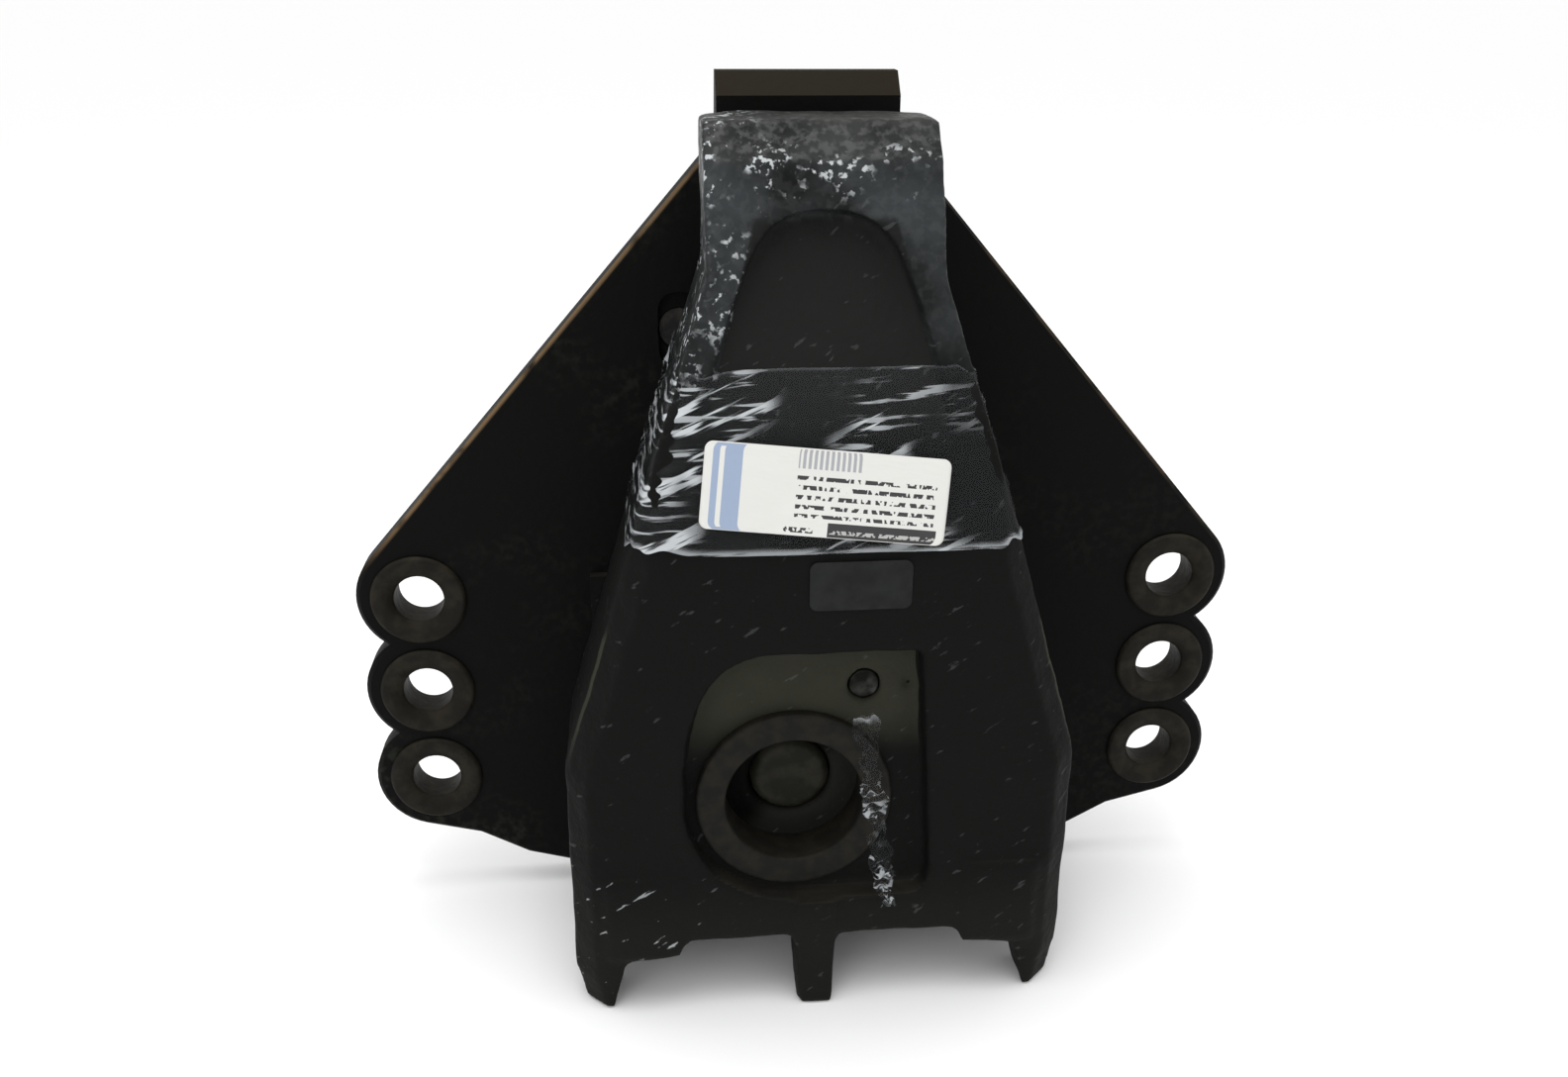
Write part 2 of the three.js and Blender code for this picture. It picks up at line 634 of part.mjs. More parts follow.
// The loose end of the film: a thin strip that hangs down in front of the recess.
function tailGeometry() {
  const rings = [];
  for (let step = 0; step <= TAIL_STEPS; step += 1) {
    const along = step / TAIL_STEPS;
    const middle = TAIL_DRIFT * along;
    const half = TAIL_WIDTH / 2;
    rings.unshift([
      [middle - half, 0],
      [middle + half, 0],
      [middle + half, TAIL_THICKNESS],
      [middle - half, TAIL_THICKNESS],
    ].map(([x, y]) => new THREE.Vector3(x, y, -TAIL_LENGTH * along)));
  }
  return loft(rings, false);
}

// Pieces are placed from the casting's front face; the group then centres the part front to back.
const tooth = new THREE.Group();
tooth.position.y = (PRONG_PROUD - boltEndY) / 2;

function addPiece(name, geometry, finish, position = [0, 0, 0], rotation = [0, 0, 0]) {
  const mesh = new THREE.Mesh(geometry, new THREE.MeshStandardMaterial(finish));
  mesh.name = name;
  mesh.position.set(...position);
  mesh.rotation.set(...rotation);
  tooth.add(mesh);
}

// Casting and what locks it
addPiece('tooth_casting', toGeometry(castingSolid()), CASTING_PAINT);
const bushStart = RECESS_DEPTH - BUSH_FLANGE_THICKNESS;
addPiece('pin_bush', bushGeometry(), RING_STEEL, [BORE_X, bushStart, BORE_Z]);
const pinStart = BUSH_SEAT_DEPTH + RUNNING_FIT;
const pin = pinGeometry(PIN_RADIUS, wingY - PIN_CHAMFER - pinStart, PIN_CHAMFER);
addPiece('retaining_pin', pin, PIN_STEEL, [BORE_X, pinStart, BORE_Z]);
const keeperStart = RECESS_DEPTH + KEEPER_SET_BACK;
const keeperEnd = keeperStart + KEEPER_LENGTH;
const keeper = pinGeometry(KEEPER_RADIUS, KEEPER_LENGTH, PLUG_CHAMFER);
addPiece('keeper_pin', keeper, PIN_STEEL, [KEEPER_X, keeperStart, KEEPER_Z]);
const plugLength = RECESS_DEPTH + KEEPER_HOLE_DEPTH - keeperEnd - 2 * FIT;
const plug = pinGeometry(KEEPER_RADIUS - FIT, plugLength, PLUG_CHAMFER);
addPiece('keeper_plug', plug, RUBBER, [KEEPER_X, keeperEnd + FIT, KEEPER_Z]);

// Spine, boss and wings
addPiece('spine_bar', toGeometry(spineSolid()), WING_PAINT);
addPiece('t_boss', toGeometry(bossSolid()), CASTING_PAINT);
for (const [sideName, side] of [['left', -1], ['right', 1]]) {
  addPiece(`wing_${sideName}`, toGeometry(wingSolid(side)), WING_PAINT);
  for (let hole = 0; hole < HOLE_COUNT; hole += 1) {
    const place = [side * holeX, wingY - RING_PROUD, LOWEST_HOLE_Z + HOLE_PITCH * hole];
    addPiece(`hole_ring_${sideName}_${hole + 1}`, ringGeometry(), RING_STEEL, place);
  }
  BOLT_HEIGHTS.forEach((height, index) => {
    const place = `${sideName}_${index + 1}`;
    addPiece(`plough_bolt_${place}`, ploughBoltGeometry(), PIN_STEEL, [side * boltX, boltStartY, height]);
    addPiece(`plough_nut_${place}`, nutGeometry(), PIN_STEEL, [side * boltX, spineBackY + FIT, height]);
  });
}

// Wrapping and label
addPiece('film_band', filmGeometry(), FILM);
const tailTop = recessBottomZ - TAIL_OVERHANG + TAIL_LENGTH;
const tailY = -TAIL_THICKNESS - TAIL_CLEARANCE;
addPiece('film_tail', tailGeometry(), FILM, [KEEPER_X - TAIL_OFFSET, tailY, tailTop]);
const labelZ = filmBottomZ + LABEL_RISE;
const faceLean = Math.atan2(WAIST_LEAN, waistZ - kneeZ);
const labelY = valueAt(frontProfile, labelZ) - FILM_CLEARANCE - FILM_THICKNESS - LABEL_THICKNESS - FIT;
const label = new THREE.BoxGeometry(LABEL_WIDTH, LABEL_THICKNESS, LABEL_HEIGHT);
addPiece('label', label, PAPER, [LABEL_X, labelY, labelZ], [-faceLean, LABEL_TILT, 0]);
const tabZ = kneeZ + TAB_TUCK - TAB_HEIGHT / 2;
const tabFace = valueAt(middleProfile, tabZ);
const tabFoot = valueAt(middleProfile, tabZ - TAB_HEIGHT / 2);
const tabLean = Math.atan2(tabFace - tabFoot, TAB_HEIGHT / 2);
const tab = new THREE.BoxGeometry(TAB_WIDTH, TAB_THICKNESS, TAB_HEIGHT);
addPiece('film_tab', tab, TAPE, [TAB_X, tabFace - TAB_THICKNESS / 2 - FIT, tabZ], [-tabLean, 0, 0]);

export default tooth;
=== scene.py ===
"""Looks for the excavator bucket tooth: cast skin, plate edges, worn rings, film and label.

Everything is in metres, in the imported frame: X across the wings, Y front to back, Z up.
"""

import logging
import math
from dataclasses import dataclass
from enum import Enum
from typing import Sequence

import bmesh
import bpy
import numpy as np
from bpy.types import Material, Mesh, Node, NodeSocket, Object
from mathutils import Euler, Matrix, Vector


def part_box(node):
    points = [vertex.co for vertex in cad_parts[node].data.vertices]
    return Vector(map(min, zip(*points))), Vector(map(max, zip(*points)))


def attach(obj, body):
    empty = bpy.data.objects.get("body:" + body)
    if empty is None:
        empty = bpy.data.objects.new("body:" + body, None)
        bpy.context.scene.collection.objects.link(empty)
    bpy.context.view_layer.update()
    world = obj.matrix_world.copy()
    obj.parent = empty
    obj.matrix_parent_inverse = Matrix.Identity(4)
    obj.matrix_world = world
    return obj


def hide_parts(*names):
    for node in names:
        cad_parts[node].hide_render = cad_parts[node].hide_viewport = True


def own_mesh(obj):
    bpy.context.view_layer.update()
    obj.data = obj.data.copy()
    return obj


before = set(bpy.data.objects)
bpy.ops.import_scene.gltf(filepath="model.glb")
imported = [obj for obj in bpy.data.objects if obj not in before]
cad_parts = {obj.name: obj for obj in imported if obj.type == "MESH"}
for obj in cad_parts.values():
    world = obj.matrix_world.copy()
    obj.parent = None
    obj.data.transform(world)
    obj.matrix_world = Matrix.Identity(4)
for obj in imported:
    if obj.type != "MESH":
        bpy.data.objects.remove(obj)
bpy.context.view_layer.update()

log = logging.getLogger("bucket_tooth")
MM = 0.001
SIDES = ("left", "right")
HOLES = (1, 2, 3)
UV_NAME = "UVMap"
MIX_FACTOR, MIX_FIRST, MIX_SECOND, MIX_RESULT = 0, 6, 7, 2
JOIN_DISTANCE = 1e-6
CAD_JOIN_DISTANCE = 2e-6
CORNER_SIDE_SHARE = 0.45
CORNER_STEPS = 4
BUSH_STEPS = 96
SMALL_STEPS = 72
TURNED_CORNER = math.radians(40)
FLAT_ANGLE = math.radians(0.6)
BEVEL_ANGLE = math.radians(28)
BEVEL_SEGMENTS = 2
LARGEST_SMOOTH_FACE = 8e-5

Colour = tuple[float, float, float, float]
Step = tuple[float, float]
Noise = tuple[float, float]


class Body(str, Enum):
    """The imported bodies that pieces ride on."""

    ROOT = "root"
    LOCK_PIN = "lock_pin"
    KEEPER = "keeper"


class Slot(str, Enum):
    """The record's material slots."""

    CASTING = "casting_paint"
    WING = "wing_paint"
    RING = "ring_steel"
    PIN = "pin_steel"
    RUBBER = "rubber"
    FILM = "clear_film"
    LABEL = "label_paper"
    TAPE = "grey_tape"


class Value:
    """A number socket that takes part in Python arithmetic by adding Math nodes."""

    def __init__(self, graph: "Graph", socket: NodeSocket) -> None:
        """Wraps a socket.

        Args:
            graph: The material graph that the socket belongs to.
            socket: The output socket to read.
        """
        self.graph = graph
        self.socket = socket

    def _math(self, operation: str, *inputs: "Value | float") -> "Value":
        """Adds one Math node and returns its result."""
        node = self.graph.node("ShaderNodeMath", {"operation": operation}, dict(enumerate(inputs)))
        return Value(self.graph, node.outputs[0])

    def __add__(self, other: "Value | float") -> "Value":
        """Sum."""
        return self._math("ADD", self, other)

    def __sub__(self, other: "Value | float") -> "Value":
        """Difference."""
        return self._math("SUBTRACT", self, other)

    def __rsub__(self, other: float) -> "Value":
        """Difference with the number first."""
        return self._math("SUBTRACT", other, self)

    def __mul__(self, other: "Value | float") -> "Value":
        """Product."""
        return self._math("MULTIPLY", self, other)

    __radd__ = __add__

    def above(self, limit: float) -> "Value":
        """One where the value is over the limit, else zero."""
        return self._math("GREATER_THAN", self, limit)

    def below(self, limit: float) -> "Value":
        """One where the value is under the limit, else zero."""
        return self._math("LESS_THAN", self, limit)

    def absolute(self) -> "Value":
        """The value without its sign."""
        return self._math("ABSOLUTE", self)

    def fraction(self) -> "Value":
        """The part after the decimal point."""
        return self._math("FRACT", self)

    def either(self, other: "Value") -> "Value":
        """The larger of two values."""
        return self._math("MAXIMUM", self, other)

    def rise(self, low: float, high: float) -> "Value":
        """A smooth step from 0 at low to 1 at high."""
        settings = {"interpolation_type": "SMOOTHSTEP"}
        inputs = {"Value": self, "From Min": low, "From Max": high}
        return Value(self.graph, self.graph.node("ShaderNodeMapRange", settings, inputs).outputs[0])

    def fall(self, low: float, high: float) -> "Value":
        """A smooth step from 1 at low to 0 at high."""
        return 1 - self.rise(low, high)

    def within(self, low: float, high: float) -> "Value":
        """One between two limits, else zero."""
        return self.above(low) * self.below(high)


class Graph:
    """A material and the calls that build its nodes."""

    def __init__(self, name: str) -> None:
        """Makes an empty material with a Principled shader.

        Args:
            name: The material's name.
        """
        self.material = bpy.data.materials.new(name)
        self.material.use_nodes = True
        self.tree = self.material.node_tree
        self.shader = self.tree.nodes["Principled BSDF"]

    def node(self, kind: str, settings: dict | None = None, inputs: dict | None = None) -> Node:
        """Adds a node.

        Args:
            kind: The node's type.
            settings: Properties set before the sockets.
            inputs: Socket names or places, with a number, a Value or a socket for each.

        Returns:
            The new node.
        """
        node = self.tree.nodes.new(kind)
        for key, value in (settings or {}).items():
            setattr(node, key, value)
        for key, value in (inputs or {}).items():
            self.feed(node.inputs[key], value)
        return node

    def feed(self, socket: NodeSocket, value: object) -> None:
        """Links or sets one input socket."""
        if isinstance(value, Value):
            self.tree.links.new(value.socket, socket)
        elif isinstance(value, NodeSocket):
            self.tree.links.new(value, socket)
        else:
            socket.default_value = value

    def place(self) -> NodeSocket:
        """Object coordinates, in metres."""
        return self.node("ShaderNodeTexCoord").outputs["Object"]

    def uv(self) -> NodeSocket:
        """The piece's own UV map, from 0 to 1 each way."""
        return self.node("ShaderNodeUVMap", {"uv_map": UV_NAME}).outputs[0]

    def axes(self, vector: NodeSocket) -> tuple["Value", "Value", "Value"]:
        """Splits a vector into its three numbers."""
        node = self.node("ShaderNodeSeparateXYZ", inputs={0: vector})
        return tuple(Value(self, output) for output in node.outputs)

    def stretched(
        self, vector: NodeSocket, scale: Sequence[float], turn: float = 0.0
    ) -> NodeSocket:
        """A copy of a vector, turned about Y and then scaled along each axis."""
        turned = self.node("ShaderNodeMapping", inputs={"Vector": vector, "Rotation": (0, turn, 0)})
        scaled = self.node("ShaderNodeMapping", inputs={"Vector": turned.outputs[0], "Scale": scale})
        return scaled.outputs[0]

    def noise(self, vector: NodeSocket, scale: float, detail: float) -> "Value":
        """Fractal noise from 0 to 1."""
        inputs = {"Vector": vector, "Scale": scale, "Detail": detail}
        return Value(self, self.node("ShaderNodeTexNoise", inputs=inputs).outputs[0])

    def facing(self) -> tuple["Value", "Value", "Value"]:
        """The face normal's three numbers."""
        return self.axes(self.node("ShaderNodeNewGeometry").outputs["True Normal"])

    def mix(self, factor: "Value", first: object, second: object) -> NodeSocket:
        """Blends two colours.

        Args:
            factor: 0 gives the first colour and 1 the second.
            first: A colour or a socket.
            second: A colour or a socket.

        Returns:
            The blended colour's socket.
        """
        node = self.node("ShaderNodeMix", {"data_type": "RGBA"})
        self.feed(node.inputs[MIX_FACTOR], factor)
        self.feed(node.inputs[MIX_FIRST], first)
        self.feed(node.inputs[MIX_SECOND], second)
        return node.outputs[MIX_RESULT]

    def bump(self, height: "Value", distance: float, strength: float = 1.0) -> None:
        """Feeds a bump of the given depth in metres to the shader's normal."""
        inputs = {"Height": height, "Distance": distance, "Strength": strength}
        self.feed(self.shader.inputs["Normal"], self.node("ShaderNodeBump", inputs=inputs).outputs[0])

    def finish(self, **sockets: object) -> Material:
        """Sets the shader's sockets, named with underscores for spaces, and returns the material."""
        for name, value in sockets.items():
            self.feed(self.shader.inputs[name.replace("_", " ")], value)
        return self.material


def colour(red: float, green: float, blue: float) -> Colour:
    """A linear colour with full alpha."""
    return (red, green, blue, 1.0)


# In the finishes below a Step is where a smooth step starts and ends, a Noise is its scale and
# detail, and a pair named "shares" is how much its first and second term count.


@dataclass(frozen=True)
class CastPaint:
    """Thin black paint over sand-cast steel: pale and grainy on the crown, partly painted light where the
    upper face leans back under the light, dark on the body.
    """

    body: Colour = colour(0.0058, 0.0061, 0.0056)
    # Crown tone: rough cast skin, partly painted light on the face that leans back
    crown: Colour = colour(0.036, 0.040, 0.042)
    pocket: Colour = colour(0.0125, 0.0130, 0.0122)
    # Painted shade: near black for the shadowed upper left of the bore
    bore_shade: Colour = colour(0.0015, 0.0015, 0.0013)
    recess_dust: Colour = colour(0.030, 0.030, 0.022)
    # Dust at the feet; in the bore the same tone is painted light on the lower wall
    foot_dust_and_bore_light: Colour = colour(0.014, 0.014, 0.012)
    chip: Colour = colour(0.42, 0.44, 0.45)
    # Brown on upward faces: settled dust, and painted light from above
    dust_and_top_light: Colour = colour(0.026, 0.023, 0.018)
    grain: Noise = (230.0, 6)
    blotch: Noise = (28, 5)
    crown_height: Step = (0.31, 0.40)
    crown_blotch: Step = (0.25, 0.7)
    pocket_half_width: float = 0.041
    pocket_spring: float = 0.375
    pocket_slope: float = 0.27
    pocket_side: Step = (-0.001, 0.0015)
    pocket_top: Step = (0.402, 0.409)
    pocket_bottom: Step = (0.30, 0.33)
    bore_centre: tuple = (-0.015, 0.120)
    bore_reach: float = 0.0395
    bore_shade_edge: Step = (-0.016, 0.004)
    recess_depth: Step = (-0.0695, -0.066)
    recess_bottom: Step = (0.14, 0.17)
    recess_top: Step = (0.21, 0.22)
    recess_shares: tuple = (0.5, 0.8)
    foot_height: Step = (0.04, 0.085)
    foot_cover: float = 0.5
    ledge_facing: Step = (0.35, 0.95)
    ledge_blotch: Step = (0.3, 0.6)
    ledge_cover: float = 0.5
    chipped_side: Step = (0.02, 0.052)
    chipped_height: Step = (0.31, 0.36)
    lip_bottom: Step = (0.412, 0.424)
    lip_top: Step = (0.432, 0.442)
    fleck: Noise = (260.0, 3)
    fleck_step: Step = (0.55, 0.62)
    patch: Noise = (60, 3)
    patch_step: Step = (0.44, 0.58)
    scuff: Noise = (90, 4)
    scuff_stretch: tuple = (1, 1, 3)
    scuff_turn: float = 0.6
    scuff_step: Step = (0.66, 0.72)
    scuffed_side: Step = (0.05, 0.08)
    scuffed_height: Step = (0.06, 0.10)
    scuff_shares: tuple = (0.7, 0.06)
    bump_shares: tuple = (0.6, 0.8)
    bump_depth: float = 0.0011
    roughness: float = 0.52
    roughness_shares: tuple = (0.14, 0.12)
    coat_grain: Step = (0.45, 0.62)
    coat: float = 0.3
    coat_roughness: float = 0.3
    specular: float = 0.04

    def material(self) -> Material:
        """Builds the finish."""
        graph = Graph("cast_paint")
        place = graph.place()
        x, y, z = graph.axes(place)
        leftwards = x * -1
        _, _, up = graph.facing()
        grain = graph.noise(place, *self.grain)
        blotch = graph.noise(place, *self.blotch)
        wall = self.pocket_half_width + (self.pocket_spring - z) * self.pocket_slope
        hollow = (wall - x.absolute()).rise(*self.pocket_side) * z.fall(*self.pocket_top)
        # Partly painted light: the upper face, leaning back, is made paler
        crown = z.rise(*self.crown_height) * (1 - hollow)
        paint = graph.mix(crown * blotch.rise(*self.crown_blotch), self.body, self.crown)
        paint = graph.mix(hollow * z.rise(*self.pocket_bottom), paint, self.pocket)
        paint = self.bore_walls(graph, paint, x, z)
        floor = y.within(*self.recess_depth) * z.rise(*self.recess_bottom) * z.fall(*self.recess_top)
        cover = self.recess_shares[0] + blotch * self.recess_shares[1]
        paint = graph.mix(floor * cover, paint, self.recess_dust)
        paint = graph.mix(z.fall(*self.foot_height) * self.foot_cover, paint, self.foot_dust_and_bore_light)
        # Dust and painted light from above on upward-facing ledges
        dusty_and_lit = up.rise(*self.ledge_facing) * blotch.rise(*self.ledge_blotch) * self.ledge_cover
        paint = graph.mix(dusty_and_lit, paint, self.dust_and_top_light)
        left_edge = leftwards.rise(*self.chipped_side) * z.rise(*self.chipped_height) * (1 - hollow)
        lip = z.rise(*self.lip_bottom) * z.fall(*self.lip_top)
        flecks = graph.noise(place, *self.fleck).rise(*self.fleck_step)
        patches = graph.noise(place, *self.patch).rise(*self.patch_step)
        chips = flecks * patches * (left_edge + lip)
        slanted = graph.stretched(place, self.scuff_stretch, self.scuff_turn)
        scuffs = graph.noise(slanted, *self.scuff).rise(*self.scuff_step)
        low_left = leftwards.rise(*self.scuffed_side) * z.fall(*self.scuffed_height)
        worn = chips.either(scuffs * (low_left * self.scuff_shares[0] + self.scuff_shares[1]))
        paint = graph.mix(worn, paint, self.chip)
        graph.bump(grain * self.bump_shares[0] + blotch * self.bump_shares[1], self.bump_depth)
        shine = self.roughness - crown * self.roughness_shares[0] + blotch * self.roughness_shares[1]
        coat = crown * grain.rise(*self.coat_grain) * self.coat
        graph.feed(graph.shader.inputs["Coat Weight"], coat)
        graph.feed(graph.shader.inputs["Coat Roughness"], self.coat_roughness)
        return graph.finish(Base_Color=paint, Roughness=shine, Specular_IOR_Level=self.specular)

    def bore_walls(self, graph: Graph, paint: object, x: Value, z: Value) -> NodeSocket:
        """Paints the bore's inside: painted shade at the upper left, and below it the paler foot tone as
        painted light on the lower wall.
        """
        from_x, from_z = x - self.bore_centre[0], z - self.bore_centre[1]
        deep = (from_x * from_x + from_z * from_z).below(self.bore_reach**2)
        # Painted shade on the bore's upper left, away from the light above; painted light below it
        shaded_upper_left = (from_z - from_x).rise(*self.bore_shade_edge)
        return graph.mix(deep, paint, graph.mix(shaded_upper_left, self.foot_dust_and_bore_light, self.bore_shade))


@dataclass(frozen=True)
class PlatePaint:
    """Satin black paint on flame-cut plate, worn to tan steel along the cutting edge, where a painted
    highlight also lies, stronger on the left wing.
    """

    paint: Colour = colour(0.0042, 0.0043, 0.0041)
    haze: Colour = colour(0.018, 0.020, 0.015)
    # Tan along the cutting edge: worn steel and a painted highlight
    edge: Colour = colour(0.13, 0.085, 0.045)
    tip: Colour = colour(0.017, 0.0135, 0.0075)
    speckle: Noise = (210, 5)
    cloud: Noise = (11, 5)
    haze_cloud: Step = (0.45, 0.7)
    haze_speckle: Step = (0.42, 0.7)
    haze_side: Step = (-0.02, 0.02)
    haze_loss: float = 0.7
    edge_turn: float = math.radians(41)
    edge_place: float = 0.3187
    edge_width: float = 0.0026
    edge_facing: Step = (0.15, 0.6)
    edge_height: Step = (0.2, 0.24)
    spine_half_width: float = 0.0457
    bare_and_highlight: Noise = (45, 3)
    bare_and_highlight_step: Step = (0.35, 0.55)
    highlight_side: Step = (0, 0.01)
    highlight_side_shares: tuple = (0.75, 0.25)
    tip_height: Step = (0.446, 0.452)
    tip_facing: Step = (0.3, 0.6)
    tip_shares: tuple = (0.55, 0.6)
    speckle_bump: float = 0.5
    bump_depth: float = 0.0006
    roughness: float = 0.46
    cloud_roughness: float = 0.2
    specular: float = 0.04

    def material(self) -> Material:
        """Builds the finish."""
        graph = Graph("plate_paint")
        place = graph.place()
        x, y, z = graph.axes(place)
        _, front, up = graph.facing()
        speckle = graph.noise(place, *self.speckle)
        cloud = graph.noise(place, *self.cloud)
        left = 1 - x.rise(*self.haze_side) * self.haze_loss
        hazy = cloud.rise(*self.haze_cloud) * speckle.rise(*self.haze_speckle) * left
        paint = graph.mix(hazy, self.paint, self.haze)
        outwards = x.absolute() * math.cos(self.edge_turn) + z * math.sin(self.edge_turn)
        along = outwards.rise(self.edge_place - self.edge_width, self.edge_place - self.edge_width / 3)
        along = along * (front * -1).rise(*self.edge_facing) * z.rise(*self.edge_height)
        along = along * x.absolute().above(self.spine_half_width)
        # Painted highlight along the edge, stronger on the left wing; the noise breaks it into worn
        # patches
        side = (x * -1).rise(*self.highlight_side) * self.highlight_side_shares[0] + self.highlight_side_shares[1]
        bare_and_highlight = graph.noise(place, *self.bare_and_highlight).rise(*self.bare_and_highlight_step) * side
        paint = graph.mix(along * bare_and_highlight, paint, self.edge)
        tip = z.rise(*self.tip_height) * up.rise(*self.tip_facing)
        paint = graph.mix(tip * (self.tip_shares[0] + cloud * self.tip_shares[1]), paint, self.tip)
        graph.bump(speckle * self.speckle_bump + cloud, self.bump_depth)
        rough = self.roughness + cloud * self.cloud_roughness
        return graph.finish(Base_Color=paint, Roughness=rough, Specular_IOR_Level=self.specular)


@dataclass(frozen=True)
class WornSteel:
    """Dark steel with random brown worn patches and painted light on its upward faces: rings, bush, pins
    and bolts.
    """

    name: str
    dark: Colour
    # Paler brown: random worn patches, and painted light on upward faces
    worn: Colour
    metallic: float
    roughness: float
    scale: float = 95.0
    finer: float = 3
    cloud_detail: float = 4
    speckle_detail: float = 5
    wear_cloud: Step = (0.4, 0.65)
    lit_facing: Step = (0.2, 0.9)
    wear_and_light_shares: tuple = (0.7, 0.35)
    cloud_bump: float = 0.5
    bump_depth: float = 0.0004
    speckle_roughness: float = 0.2
    specular: float = 0.08

    def material(self) -> Material:
        """Builds the finish."""
        graph = Graph(self.name)
        place = graph.place()
        _, _, up = graph.facing()
        speckle = graph.noise(place, self.scale * self.finer, self.speckle_detail)
        cloud = graph.noise(place, self.scale, self.cloud_detail)
        wear_and_light = cloud.rise(*self.wear_cloud) * self.wear_and_light_shares[0]
        # Painted light: upward faces paler, as if lit from above
        wear_and_light = wear_and_light + up.rise(*self.lit_facing) * self.wear_and_light_shares[1]
        paint = graph.mix(wear_and_light, self.dark, self.worn)
        graph.bump(speckle + cloud * self.cloud_bump, self.bump_depth)
        rough = self.roughness + speckle * self.speckle_roughness
        return graph.finish(
            Base_Color=paint, Roughness=rough, Metallic=self.metallic, Specular_IOR_Level=self.specular
        )


@dataclass(frozen=True)
class StretchFilm:
    """Clear stretch film: nearly unseen where taut, pale where it creases and where highlights are painted
    along streaks and rims.
    """

    name: str
    veil: float
    # Extra cover where the film creases and where highlights are painted
    crease: float
    turn: float
    stretch: tuple = (5.0, 5.0, 60.0)
    # Pale tone of the creases and of the painted highlights
    crease_and_highlight_tone: Colour = colour(0.55, 0.58, 0.60)
    shade: Colour = colour(0.05, 0.055, 0.06)
    crossing: Noise = (4, 3)
    crossing_step: Step = (0.55, 0.62)
    level: Noise = (5, 2)
    level_stretch: tuple = (7, 7, 75)
    level_turn: float = 0.06
    level_step: Step = (0.56, 0.64)
    level_share: float = 0.8
    patch: Noise = (16, 3)
    patch_step: Step = (0.44, 0.6)
    lower_rim: Step = (0.01, 0.05)
    upper_rim: Step = (0.98, 1.0)
    upper_share: float = 0.4
    rim_share: float = 0.7
    rim_level: Step = (0.3, 0.5)
    left_side: Step = (0.045, 0.08)
    right_side: Step = (0.03, 0.07)
    side_shares: tuple = (0.2, 0.06)
    bump_shares: tuple = (0.6, 0.4)
    bump_depth: float = 0.0009
    bump_strength: float = 0.6
    roughness: float = 0.16
    specular: float = 0.6

    def material(self) -> Material:
        """Builds the finish."""
        graph = Graph(self.name)
        place = graph.place()
        crossing = graph.noise(graph.stretched(place, self.stretch, self.turn), *self.crossing)
        level = graph.noise(graph.stretched(place, self.level_stretch, self.level_turn), *self.level)
        patches = graph.noise(place, *self.patch)
        _, v, _ = graph.axes(graph.uv())
        streaks = crossing.rise(*self.crossing_step)
        streaks = streaks.either(level.rise(*self.level_step) * self.level_share)
        rim = v.fall(*self.lower_rim).either(v.rise(*self.upper_rim) * self.upper_share)
        rim = rim * self.rim_share
        side, _, _ = graph.axes(place)
        lively = patches + (side * -1).rise(*self.left_side) * self.side_shares[0]
        lively = lively - side.rise(*self.right_side) * self.side_shares[1]
        # Painted highlights: streaks, stronger on the left, and pale lines along the rims, over the
        # creases
        bright = (streaks * lively.rise(*self.patch_step)).either(rim * level.rise(*self.rim_level))
        height = crossing * self.bump_shares[0] + level * self.bump_shares[1]
        graph.bump(height, self.bump_depth, self.bump_strength)
        cover = self.veil + bright * self.crease
        tone = graph.mix(bright, self.shade, self.crease_and_highlight_tone)
        return graph.finish(
            Base_Color=tone, Alpha=cover, Roughness=self.roughness, Specular_IOR_Level=self.specular
        )


